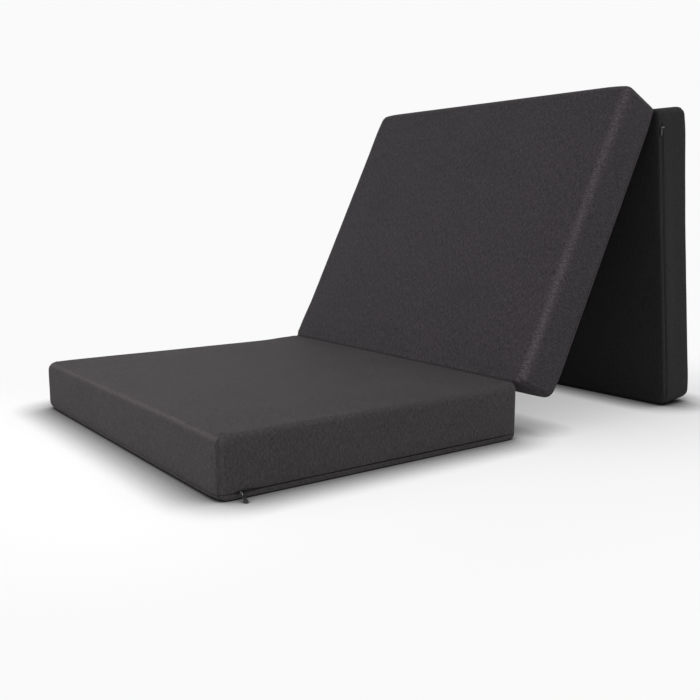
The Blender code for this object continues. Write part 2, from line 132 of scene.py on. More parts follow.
# Hollows all over, puckers along the edges, tucks at the seams: mask, wavelength, depth, stretch of the field
HOLLOWS = (
    (None, 260 * MM, 0.5 * MM, (1, 1, 1)),
    ("edge", 55 * MM, 0.6 * MM, (1, 1, 1)),
    ("seam", 16 * MM, 0.35 * MM, (1, 1, 0.25)),
)
FOLD_FLAT, FLOOR_FLAT = 12 * MM, 6 * MM  # from a fold and from the floor to the full hollows

# Streaks of the weave: scale across and along the cloth, in waves per metre, and share
STREAKS = (((700, 150), 0.40), ((300, 60), 0.20), ((170, 700), 0.25), ((900, 900), 0.15))


@dataclass
class Panel:
    """One panel of the mattress, with the matrix that carries its own frame to the world."""

    name: str
    near_hinge: str
    far_hinge: str
    matrix: Matrix
    seed: int

    @property
    def body(self):
        return self.name + "_panel"

    @property
    def zip_side(self):
        low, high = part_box(self.name + "_zip_slider")
        return 1 if low.x + high.x > 0 else -1

    def hinge_of(self, side):
        return {"near": self.near_hinge, "far": self.far_hinge}.get(side, "none")

    def ends(self, along):
        """Each end's hinge, and its distance from places along the panel."""
        return (self.near_hinge, along + HALF_LENGTH), (self.far_hinge, HALF_LENGTH - along)

    def zip_matrix(self):
        """Frame of the zip: X out of the case, Y along the chain, Z up the wall."""
        half_turn = 0 if self.zip_side > 0 else math.pi
        place = Matrix.Translation((self.zip_side * HALF_WIDTH, 0, SEAM_HEIGHT))
        return self.matrix @ place @ Matrix.Rotation(half_turn, 4, "Z")


def panels_of_frame():
    """The three panels, placed by the two fold joints."""
    front_axis = Vector(JOINTS["front_fold"]["pos_m"])
    rear_axis = Vector(JOINTS["rear_fold"]["pos_m"])
    lean = -math.radians(JOINTS["front_fold"]["range_deg"][0])
    fold = math.radians(JOINTS["rear_fold"]["range_deg"][1])
    clearance = front_axis.z - THICKNESS
    to_middle = Matrix.Translation((0, front_axis.y, -THICKNESS - clearance))
    to_rear = Matrix.Translation((0, front_axis.y, clearance))
    middle = Matrix.Translation(front_axis) @ Matrix.Rotation(lean, 4, "X") @ to_middle
    rear = Matrix.Translation(rear_axis) @ Matrix.Rotation(lean - fold, 4, "X") @ to_rear
    return (
        Panel("front", "none", "top", Matrix.Identity(4), seed=11),
        Panel("middle", "top", "underside", middle, seed=23),
        Panel("rear", "underside", "none", rear, seed=37),
    )


PANELS = panels_of_frame()

# Painted highlight along each side's edge (right, far, left, near): how much lighter the cloth is painted
# there, and how wide that is
EDGE_HIGHLIGHTS = {
    "front": ((0.1, 0.0, 0.4, 1.0), 4 * MM),
    "middle": ((1.0, 0.3, 0.6, 0.0), 9 * MM),
    "rear": ((0.6, 0.3, 0.6, 0.3), 6 * MM),
}

# Tint of the charcoal yarns, which also darkens the middle and rear panels' cloth as painted shade; how much
# the painted highlight lightens the cloth along the edges; and strength of the streaks
COVER_SHADES_AND_LOOKS = {
    "front": ((1.05, 0.985, 0.99), 0.6, 0.85),
    "middle": ((0.92, 0.835, 0.91), 0.8, 1.4),
    "rear": ((0.39, 0.38, 0.39), 0.3, 1.0),
}
COVER_YARN, TRIM_YARN = 0.6 * MM, 0.5 * MM

# White of the backdrop, as the camera sees it
WHITE = (0.955, 0.955, 0.955, 1)


def length_property(name, description, default):
    return FloatProperty(name=name, description=description, default=default, unit="LENGTH")


def colour_property(name, description, default):
    return FloatVectorProperty(name=name, description=description, default=default, size=3, subtype="COLOR")


class MATTRESS_PG_case(bpy.types.PropertyGroup):
    """Form of the filled cases."""

    cell: length_property("Cell", "Size of a case's mesh cells", 10 * MM)
    corner: length_property("Corner", "Radius of a case's upright corners", 18 * MM)
    top_roll: length_property("Top roll", "Radius of the edges of the sleeping face", 12 * MM)
    under_roll: length_property("Under roll", "Radius of the edges of the underside", 10 * MM)
    zip_roll: length_property("Zip roll", "Radius of the edge below the zip", 4 * MM)
    hinge_roll: length_property("Hinge roll", "Radius of the edges along a fold", 3 * MM)
    crown: length_property("Crown", "Drop of the sleeping face at its free edges", 4 * MM)
    crown_reach: length_property("Crown reach", "Width of the band that drops", 130 * MM)
    draw: length_property("Draw", "How far the sides pull in between corners", 3 * MM)
    fullness: length_property("Fullness", "How much larger the rolls grow at a corner", 6 * MM)
    slit: length_property("Slit", "Width of the opening that shows the zip", 6 * MM)
    cloth: length_property("Cloth", "Thickness of the cloth", 0.6 * MM)
    lips: length_property("Lips", "Gap between the lips over a closed zip", 0.6 * MM)
    foam_inset: length_property("Foam inset", "Room between the case and its foam", 4.5 * MM)
    seam_depth: length_property("Seam depth", "Depth of the seams at the upright corners", 1.3 * MM)
    pressure: FloatProperty(name="Pressure", description="Push of the foam on the cloth", default=0.5)
    slack: FloatProperty(name="Slack", description="Share by which the cloth is cut too long", default=0.004)
    hold: FloatProperty(name="Hold", description="How firmly the foam keeps the cloth in place", default=0.1)
    travel: length_property("Travel", "Furthest that the cloth moves as it settles", 1.6 * MM)


class MATTRESS_PG_zip(bpy.types.PropertyGroup):
    """Sizes of the zips and of the thread."""

    coil_pitch: length_property("Coil pitch", "Length of one turn of the nylon coil", 1.2 * MM)
    coil_wire: length_property("Coil wire", "Radius of the coil's wire", 0.42 * MM)
    stitch_pitch: length_property("Stitch pitch", "Distance between stitches", 3.6 * MM)
    stitch_length: length_property("Stitch length", "Length of the thread that shows", 2.7 * MM)
    thread: length_property("Thread", "Thickness of the sewing thread", 0.5 * MM)


class MATTRESS_PG_colours(bpy.types.PropertyGroup):
    """Colours of the cloths, the foams and the zips, in linear values."""

    light_yarn: colour_property("Light yarn", "Lighter yarn of the charcoal cloth", (0.0655, 0.062, 0.0645))
    dark_yarn: colour_property("Dark yarn", "Darker yarn of the charcoal cloth", (0.0222, 0.0215, 0.0225))
    black_cloth: colour_property("Black cloth", "Cloth of the undersides", (0.016, 0.016, 0.017))
    trim: colour_property("Trim", "Tapes, bindings and thread", (0.02, 0.0197, 0.0197))
    metal: colour_property("Metal", "Lacquered zip sliders", (0.035, 0.0345, 0.0345))
    worn_metal: colour_property("Worn metal", "Scuffs on the sliders' lacquer", (0.075, 0.074, 0.073))
    nickel: colour_property("Nickel", "Bare zip rings", (0.42, 0.41, 0.4))
    worn_nickel: colour_property("Worn nickel", "Scuffs on the rings", (0.24, 0.23, 0.22))
    soft_foam: colour_property("Soft foam", "Comfort layer", (0.75, 0.7, 0.56))
    firm_foam: colour_property("Firm foam", "Base layer", (0.2, 0.2, 0.205))


class MATTRESS_PG_studio(bpy.types.PropertyGroup):
    """Camera and lights."""

    lens: FloatProperty(name="Lens", description="Focal length on a 36 mm sensor", default=45.5)
    yaw: FloatProperty(
        name="Yaw",
        description="Turn of the camera from the fold's square",
        default=math.radians(54),
        subtype="ANGLE",
    )
    pitch: FloatProperty(
        name="Pitch",
        description="Camera's tilt below the horizon",
        default=math.radians(9.3),
        subtype="ANGLE",
    )
    place: FloatVectorProperty(
        name="Place",
        description="Place of the camera",
        default=(1.516, -0.891, 0.434),
        size=3,
        subtype="XYZ",
    )
    sky: FloatProperty(name="Sky", description="Level of the light from all round", default=1.0)
    key: FloatProperty(name="Key", description="Power of the main lamp, in watts", default=2.0)


def bell(distance, width):
    """1 at no distance, and next to nothing past two widths."""
    return np.exp(-((distance / width) ** 2))


def ease(share):
    """0 to 1 with level ends, on a number or an array."""
    share = np.clip(share, 0, 1)
    return share * share * (3 - 2 * share)


def evaluated_mesh(thing):
    bpy.context.view_layer.update()
    graph = bpy.context.evaluated_depsgraph_get()
    return bpy.data.meshes.new_from_object(thing.evaluated_get(graph), depsgraph=graph)


def clean_copy(thing):
    """Swaps an object's mesh for its evaluated one and drops its modifiers."""
    mesh = evaluated_mesh(thing)
    thing.modifiers.clear()
    old = thing.data
    thing.data = mesh
    mesh.name = thing.name
    bpy.data.meshes.remove(old)


def shade(mesh, sharp=SOFT_EDGE):
    """Smooth shading, apart from edges that turn by more than an angle in degrees."""
    mesh.shade_smooth()
    mesh.set_sharp_from_angle(angle=math.radians(sharp))


def add_object(name, data):
    thing = bpy.data.objects.new(name, data)
    bpy.context.scene.collection.objects.link(thing)
    return thing


def hand_over(thing, body, material, nodes=()):
    """Gives a finished piece its material, and says what it rides on and stands for."""
    thing.data.materials.clear()
    thing.data.materials.append(material)
    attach(thing, body)
    if nodes:
        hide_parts(*nodes)


# The skin of a filled case


class Skin:
    """Outer form of one case in its panel's own frame, as columns round its outline.

    The columns start at the middle of the near right corner and run anticlockwise: right, far, left, near.
    """

    # Columns in half of a rounded corner
    HALF_ARC = 4

    def __init__(self, panel, form, inset=0.0, cell=None):
        self.panel = panel
        self.form = form
        self.inset = inset
        cell = cell or form.cell
        radius = form.corner - inset
        half_x, half_y = HALF_WIDTH - inset, HALF_LENGTH - inset
        self.counts = {}
        places, outwards, runs, sides, arcs = [], [], [], [], []
        for number, side in enumerate(SIDES):
            half_out, half_run = (half_x, half_y) if number % 2 == 0 else (half_y, half_x)
            straight = half_run - radius
            count = max(round(2 * straight / cell), 2)
            self.counts[side] = count + 2 * self.HALF_ARC
            first = np.linspace(-EIGHTH, 0, self.HALF_ARC, endpoint=False)
            last = -first[:0:-1]
            line = np.linspace(-straight, straight, count + 1)
            angle = np.concatenate([first, np.zeros(count + 1), last])
            bends = radius * np.sin(first), radius * np.sin(last)
            along = np.concatenate([-straight + bends[0], line, straight + bends[1]])
            run = np.concatenate([-straight + radius * first, line, straight + radius * last])
            out = half_out - radius + radius * np.cos(angle)
            turn = number * QUARTER
            cos, sin = math.cos(turn), math.sin(turn)
            places.append(np.stack([out * cos - along * sin, out * sin + along * cos], 1))
            outwards.append(np.stack([np.cos(angle + turn), np.sin(angle + turn)], 1))
            runs.append(run)
            sides += [number] * len(run)
            arcs.append(angle / EIGHTH)
        self.place = np.concatenate(places)
        self.out = np.concatenate(outwards)
        self.run = np.concatenate(runs)
        self.side = np.array(sides)
        self.arc = np.concatenate(arcs)
        ends = np.array([self.run[self.side == number].max() for number in range(4)])
        self.run_end = ends + radius * EIGHTH / self.HALF_ARC
        self.corner_share = bell(self.run_end[self.side] - np.abs(self.run), CORNER_REACH)
        self.top_roll = self.rolls("top", form.top_roll)
        self.under_roll = self.rolls("underside", form.under_roll)
        self.opening = self.zip_opening()

    def rolls(self, face, plain):
        """Roll radius at each column, blended round the corners."""
        radii = []
        for side in SIDES:
            radius = self.form.hinge_roll if self.panel.hinge_of(side) == face else plain
            zip_side = "right" if self.panel.zip_side > 0 else "left"
            if face == "underside" and side == zip_side:
                radius = self.form.zip_roll
            radii.append(max(radius - self.inset, LEAST_ROLL))
        blended = self.blended(radii)
        return blended + self.form.fullness * self.corner_share * ease(blended / plain)

    def blended(self, values):
        """One value per side, eased into each other round the corners."""
        values = np.array(values)
        own = values[self.side]
        neighbour = values[(self.side + np.sign(self.arc).astype(int)) % 4]
        share = ease(np.abs(self.arc)) / 2
        return own * (1 - share) + neighbour * share

    def zip_opening(self):
        """Half the width of the slit at each column, nothing away from the zip."""
        side = 0 if self.panel.zip_side > 0 else 2
        reach = ease((ZIP_LENGTH / 2 - np.abs(self.run)) / SLIT_TAPER)
        shut = 0
        if self.panel.name == "front":
            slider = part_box("front_zip_slider")[1].y
            shut = ease((self.run - slider - MOUTH) / MOUTH_TAPER)
        width = self.form.slit * (1 - shut) + self.form.lips * shut
        return np.where(self.side == side, reach, 0) * width / 2

    def crown_drop(self, x, y):
        """How far the sleeping face has fallen at a place."""
        form = self.form
        level = ease((HALF_WIDTH - np.abs(x)) / form.crown_reach)
        fade = 1.0
        for hinge, gap in self.panel.ends(y):
            if hinge == "top":
                fade = fade * ease(gap / FOLD_REACH)
            else:
                level = level * ease(gap / form.crown_reach)
        return form.crown * (1 - level) * fade

    def drawn_in(self, points):
        """The free sides pull in between the corners, above the zip."""
        x, y, z = points.T
        across, along = x / HALF_WIDTH, y / HALF_LENGTH
        pull = self.form.draw * ease((z - STRAIGHT_FOOT) / (THICKNESS / 2 - STRAIGHT_FOOT))
        free = np.where(y > 0, self.panel.far_hinge == "none", self.panel.near_hinge == "none")
        new_x = x - pull * across * (1 - np.minimum(along**2, 1))
        new_y = y - pull * along * (1 - np.minimum(across**2, 1)) * free
        return np.stack([new_x, new_y, z], 1)

    def wall_ring(self, inset, height):
        """Ring at a height above the underside's plane, drawn in where the lower edge still rolls."""
        depth = np.minimum(np.broadcast_to(height, len(self.run)) - self.inset, self.under_roll)
        rolled = self.under_roll - np.sqrt(self.under_roll**2 - (self.under_roll - depth) ** 2)
        return self.ring(inset + rolled, height)

    def ring(self, inset, height):
        """Ring at a height above the underside's plane."""
        place = self.place - self.out * np.reshape(inset, (-1, 1))
        height = np.broadcast_to(height, len(place))
        return self.drawn_in(np.column_stack([place, height]))

    def top_ring(self, inset, depth):
        """Ring at a depth below the sleeping face."""
        place = self.place - self.out * np.reshape(inset, (-1, 1))
        height = THICKNESS - self.inset - self.crown_drop(place[:, 0], place[:, 1]) - depth
        return self.drawn_in(np.column_stack([place, height]))

    def top_rings(self, steps=6):
        """The rolled edge of the sleeping face, and a step in to where the corners are nearly square."""
        rings = []
        for angle in np.linspace(0, QUARTER, steps + 1):
            inset = self.top_roll * (1 - math.cos(angle))
            rings.append(self.top_ring(inset, self.top_roll * (1 - math.sin(angle))))
        last = (self.form.corner - self.inset) * CORNER_SHARE
        rings.append(self.top_ring(np.full(len(self.run), last), 0))
        return rings

    def under_rings(self, highest, steps=5):
        """From the flat underside up its rolled edge, as far as a height."""
        last = (self.form.corner - self.inset) * CORNER_SHARE
        rings = [self.ring(np.full(len(self.run), last), self.inset)]
        reach = np.arccos(np.clip(1 - (highest - self.inset) / self.under_roll, 0, 1))
        for share in np.linspace(0, 1, steps + 1):
            inset = self.under_roll * (1 - np.sin(reach * share))
            rings.append(self.ring(inset, self.inset + self.under_roll * (1 - np.cos(reach * share))))
        return rings

    def hem_share(self):
        """How open the hem is at each column: full at the zip, tight round the rest."""
        return TIGHT_HEM + (1 - TIGHT_HEM) * ease(self.opening / OPEN_HEM)


def four_sides(skin, ring):
    """A ring split at its corners into right, far, left and near, each towards its higher X or Y."""
    columns, rows = skin.counts["far"], skin.counts["right"]
    right = ring[: rows + 1]
    far = ring[rows : rows + columns + 1][::-1]
    left = ring[rows + columns : 2 * rows + columns + 1][::-1]
    near = np.concatenate([ring[2 * rows + columns :], ring[:1]])
    return right, far, left, near


def patch(skin, boundary):
    """Grid of points that fills a ring, from the ring's four sides."""
    right, far, left, near = four_sides(skin, boundary)
    across = np.linspace(0, 1, len(far))[:, None, None]
    along = np.linspace(0, 1, len(right))[None, :, None]
    between_ends = near[:, None] * (1 - along) + far[:, None] * along
    between_sides = left[None] * (1 - across) + right[None] * across
    corners = (
        near[0] * (1 - across) * (1 - along)
        + near[-1] * across * (1 - along)
        + far[0] * (1 - across) * along
        + far[-1] * across * along
    )
    return between_ends + between_sides - corners


def skin_mesh(name, skin, rings, top):
    """Mesh of a stack of rings that ends in a filled face, with its cloth coordinates and its masks."""
    size = len(skin.run)
    stack = np.array(rings if top else rings[::-1])
    grid = patch(skin, stack[-1])
    if top:
        flat = grid.reshape(-1, 3)
        flat[:, 2] = THICKNESS - skin.inset - skin.crown_drop(flat[:, 0], flat[:, 1])
    points = np.concatenate([stack.reshape(-1, 3), grid[1:-1, 1:-1].reshape(-1, 3)])
    rim = (len(stack) - 1) * size
    index = np.full(grid.shape[:2], -1)
    index[-1, :], index[:, -1], index[0, :], index[:, 0] = four_sides(skin, rim + np.arange(size))
    index[1:-1, 1:-1] = np.arange(rim + size, len(points)).reshape(index[1:-1, 1:-1].shape)
    step = np.arange(size)
    ahead = (step + 1) % size
    faces = []
    for level in range(len(stack) - 1):
        low, high = level * size, (level + 1) * size
        faces.append(np.stack([low + step, low + ahead, high + ahead, high + step], 1))
    inner = np.stack([index[:-1, :-1], index[1:, :-1], index[1:, 1:], index[:-1, 1:]], -1)
    faces = np.concatenate(faces + [inner.reshape(-1, 4)])
    if not top:
        faces = faces[:, ::-1]
    mesh = bpy.data.meshes.new(name)
    mesh.from_pydata(points.tolist(), [], faces.tolist())
    down = distance_down(stack)
    add_cloth_coordinates(mesh, skin, stack, down, grid, faces, top)
    add_masks(mesh, skin, stack, down, top)
    mesh.shade_smooth()
    return mesh


def distance_down(stack):
    """How far each point of a stack of rings is from the last ring, along its own column."""
    steps = np.linalg.norm(np.diff(stack, axis=0), axis=2)
    down = np.zeros(stack.shape[:2])
    down[:-1] = np.cumsum(steps[::-1], axis=0)[::-1]
    return down


def add_cloth_coordinates(mesh, skin, stack, down, grid, faces, top):
    """Lays the cloth out in metres: the face as it is, and each wall folded out from its own edge."""
    size = len(skin.run)
    rim = (len(stack) - 1) * size
    half_out = np.where(np.arange(4) % 2 == 0, HALF_WIDTH, HALF_LENGTH) - skin.form.corner
    level = np.repeat(np.arange(len(stack) - 1), size)
    step = np.tile(np.arange(size), len(stack) - 1)
    ahead = (step + 1) % size
    side = skin.side[step]
    outward = np.array([1, 1, -1, -1])[side]
    forward = outward * np.where(side % 2 == 1, -1, 1)
    wall = np.zeros((rim, 4, 2))
    corners = (level, step), (level, ahead), (level + 1, ahead), (level + 1, step)
    for corner, (row, column) in enumerate(corners):
        run = np.where(skin.side[column] == side, skin.run[column], skin.run_end[side])
        wall[:, corner, 0] = run * forward
        wall[:, corner, 1] = (half_out[side] + down[row, column]) * outward
    flat = np.zeros((len(mesh.vertices), 2))
    flat[rim : rim + size] = stack[-1][:, :2]
    flat[rim + size :] = grid[1:-1, 1:-1, :2].reshape(-1, 2)
    face = flat[(faces if top else faces[:, ::-1])[rim:]]
    places = np.concatenate([wall, face])
    if not top:
        places = places[:, ::-1]
    layer = mesh.uv_layers.new(name="Cloth")
    layer.uv.foreach_set("vector", places.astype(np.float32).ravel())


def add_masks(mesh, skin, stack, down, top):
    """Marks the edges, where the cloth puckers and a highlight is painted, the seams and hems, where the
    cloth tucks and shade is painted, the strip over an underside's foot and the corners' grooves.
    """
    from_rim = down[0][None] - down
    from_seam = (np.abs(skin.arc) - 1) * skin.form.corner * EIGHTH
    roll = skin.top_roll if top else skin.under_roll
    from_edge = down - (skin.form.corner * CORNER_SHARE - roll + roll * EIGHTH)[None]
    shares, width = EDGE_HIGHLIGHTS[skin.panel.name]
    hem = bell(from_rim, HEM_MARK) * (2 * skin.hem_share() - 1)[None].clip(LEAST_HEM_MARK, 1)
    upright = ease((down - GROOVE_TOP) / GROOVE_TOP_EASE) * ease(from_rim / GROOVE_FOOT_EASE)
    upright = upright * (1 - GROOVE_FADE_SHARE * ease((down - GROOVE_FADE) / GROOVE_FADE))
    gleam = GLEAM_SHARE * bell(from_seam + GLEAM, GLEAM_WIDTH)[None] * upright
    groove = bell(from_seam, GROOVE_WIDTH) - SHOULDER_SHARE * bell(from_seam + SHOULDER, SHOULDER_WIDTH)
    # The edge mark paints a highlight along the edges and beside the grooves, and also sets the puckers; the
    # seam mark paints shade at the hems and corner seams, and also sets the tucks.
    masks = {
        "edge": bell(from_edge, width) * skin.blended(shares) + gleam,
        "seam": np.maximum(hem, bell(from_seam, SEAM_MARK)[None] * SEAM_SHARE),
        "band": stack[:-1, :, 2] > BAND_FOOT,
        "groove": groove[None] * upright,
    }
    for name, marks in masks.items():
        values = np.zeros(len(mesh.vertices), np.float32)
        values[: marks.size] = marks.ravel()
        mesh.attributes.new(name, "FLOAT", "POINT").data.foreach_set("value", values)


def cover_rings(skin):
    """From the folded hem at the seam up the walls to the sleeping face."""
    rim = SEAM_HEIGHT + SEAM_GAP / 2 + skin.opening
    hem = skin.hem_share() * HEM
    rings = [skin.wall_ring(HEM_DEPTH, rim + hem)]
    rings += [skin.wall_ring(hem * inset, rim + hem * rise) for inset, rise in HEM_ROUND]
    rings.append(skin.wall_ring(0, rim + hem))
    start = rings[-1][:, 2]
    top = skin.top_ring(np.zeros(len(rim)), skin.top_roll)[:, 2]
    for share in np.linspace(0, 1, WALL_STATIONS)[1:-1] ** WALL_CROWDING:
        rings.append(skin.wall_ring(0, start + (top - start) * share))
    return rings + skin.top_rings()


def underside_rings(skin):
    """From the flat face up to the hem at the seam."""
    rim = SEAM_HEIGHT - SEAM_GAP / 2 - skin.opening
    hem = skin.hem_share() * HEM
    highest = rim - hem
    rings = skin.under_rings(highest - HEM_STEP)
    rings.append(skin.wall_ring(0, highest))
    rings += [skin.wall_ring(hem * inset, rim - hem * rise) for inset, rise in reversed(HEM_ROUND)]
    rings.append(skin.wall_ring(HEM_DEPTH, highest))
    return rings


def unevenness(points, seed, wavelength):
    """Smooth random field between about -1 and 1, from a few waves in seeded directions."""
    random = np.random.default_rng(seed)
    total = np.zeros(len(points))
    for _ in range(WAVES):
        direction = random.normal(size=3)
        direction /= np.linalg.norm(direction)
        length = wavelength * random.uniform(*WAVE_SPREAD)
        total += np.sin(points @ direction * 2 * math.pi / length + random.uniform(0, 2 * math.pi))
    return total / WAVE_SUM


def read_points(mesh):
    points = np.empty(len(mesh.vertices) * 3, np.float32)
    mesh.vertices.foreach_get("co", points)
    return points.reshape(-1, 3).astype(float)


def write_points(mesh, points):
    mesh.vertices.foreach_set("co", points.astype(np.float32).ravel())
    mesh.update()


def settle_cloth(thing, panel, form, rim_points):
    """Lets cloth that is cut a little long settle over the foam's push, held at its seams and folds."""
    mesh = thing.data
    start = read_points(mesh)
    held = np.full(len(start), form.hold)
    held[:rim_points] = 1
    for hinge, gap in panel.ends(start[:, 1]):
        if hinge != "none":
            held = np.maximum(held, 1 - ease((gap - FOLD_HOLD) / FOLD_EASE))
    free = held < 0.5
    moved = simulated_points(thing, form, held) - start
    moved -= np.mean(moved[free], axis=0)
    if start[:, 2].max() < THICKNESS / 2:
        # An underside only settles inwards, clear of the panel that it folds against.
        moved[:, 2] -= moved[free, 2].min()
    from_side = np.minimum(HALF_WIDTH - np.abs(start[:, 0]), HALF_LENGTH - np.abs(start[:, 1]))
    from_face = np.minimum(start[:, 2], THICKNESS - start[:, 2])
    moved *= ease((np.maximum(from_side, from_face) - EDGE_HOLD) / EDGE_EASE)[:, None]
    ends = np.array([edge.vertices[:] for edge in mesh.edges])
    joined = np.bincount(ends.ravel(), minlength=len(start))[:, None]
    for _ in range(SMOOTHING_TURNS):
        near = np.zeros_like(moved)
        np.add.at(near, ends[:, 0], moved[ends[:, 1]])
        np.add.at(near, ends[:, 1], moved[ends[:, 0]])
        moved = (moved + near / joined) / 2 * (held < 1)[:, None]
    length = np.linalg.norm(moved, axis=1)
    share = form.travel * np.tanh(length / form.travel) / np.maximum(length, 1e-9)
    write_points(mesh, start + moved * share[:, None])


def simulated_points(thing, form, held):
    """Where a short cloth simulation takes an object's points."""
    group = thing.vertex_groups.new(name="held")
    for number, weight in enumerate(held):
        group.add([number], float(weight), "REPLACE")
    filling = thing.modifiers.new("filling", "CLOTH")
    cloth = filling.settings
    cloth.vertex_group_mass = "held"
    cloth.pin_stiffness = 20
    cloth.quality = 5
    cloth.use_pressure = True
    cloth.uniform_pressure_force = form.pressure
    cloth.shrink_min = -form.slack
    cloth.effector_weights.gravity = 0
    filling.point_cache.frame_start = 1
    filling.point_cache.frame_end = SETTLING_FRAMES
    scene = bpy.context.scene
    for number in range(1, SETTLING_FRAMES + 1):
        scene.frame_set(number)
    points = read_points(thing.evaluated_get(bpy.context.evaluated_depsgraph_get()).to_mesh())
    thing.modifiers.clear()
    scene.frame_set(1)
    thing.vertex_groups.clear()
    return points


def read_mask(mesh, name):
    values = np.empty(len(mesh.vertices), np.float32)
    mesh.attributes[name].data.foreach_get("value", values)
    return values.astype(float)


def slacken(mesh, panel, form):
    """Small hollows and puckers of cloth over foam, kept inside the case's own form."""
    points = read_points(mesh)
    normals = np.empty(len(points) * 3, np.float32)
    mesh.vertex_normals.foreach_get("vector", normals)
    depth = form.seam_depth * read_mask(mesh, "groove")
    for number, (mask, wavelength, deepest, stretch) in enumerate(HOLLOWS):
        field = unevenness(points * stretch, panel.seed + number, wavelength)
        share = read_mask(mesh, mask) if mask else 1
        depth += deepest * share * (1 + field) / 2
    for hinge, gap in panel.ends(points[:, 1]):
        if hinge != "none":
            depth *= ease(gap / FOLD_FLAT)
    depth *= ease(points[:, 2] / FLOOR_FLAT)
    write_points(mesh, points - normals.reshape(-1, 3) * depth[:, None])


# Node trees


def new_material(name):
    material = bpy.data.materials.new(name)
    material.use_nodes = True
    return material, material.node_tree, material.node_tree.nodes["Principled BSDF"]


def feed(tree, node, inputs):
    """Sets a node's input sockets to values, or links them to other sockets."""
    for key, value in inputs.items():
        if isinstance(value, bpy.types.NodeSocket):
            tree.links.new(value, node.inputs[key])
        else:
            node.inputs[key].default_value = value


def add_node(tree, kind, inputs=None, **values):
    """A node with its properties and its input sockets set."""
    made = tree.nodes.new(kind)
    for key, value in values.items():
        setattr(made, key, value)
    feed(tree, made, inputs or {})
    return made


def maths(tree, operation, *values):
    return add_node(tree, "ShaderNodeMath", dict(enumerate(values)), operation=operation).outputs[0]


def vector_maths(tree, operation, *values):
    return add_node(tree, "ShaderNodeVectorMath", dict(enumerate(values)), operation=operation).outputs


def noise(tree, place, scale, detail):
    inputs = {"Vector": place, "Scale": scale, "Detail": detail}
    return add_node(tree, "ShaderNodeTexNoise", inputs).outputs[0]


def mix_colour(tree, share, first, second, blend="MIX"):
    inputs = {0: share, 6: first, 7: second}
    return add_node(tree, "ShaderNodeMix", inputs, data_type="RGBA", blend_type=blend).outputs[2]


def opaque(colour, share=1):
    """A colour times a share, with full alpha."""
    return (*(value * share for value in colour), 1)


def group_interface(name, inputs, outputs):
    """An empty node group with named sockets, and its two ends."""
    tree = bpy.data.node_groups.new(name, "ShaderNodeTree")
    for label, kind, default in inputs:
        socket = tree.interface.new_socket(label, in_out="INPUT", socket_type=kind)
        if default is not None:
            socket.default_value = default
    for label, kind in outputs:
        tree.interface.new_socket(label, in_out="OUTPUT", socket_type=kind)
    return tree, tree.nodes.new("NodeGroupInput").outputs, tree.nodes.new("NodeGroupOutput").inputs


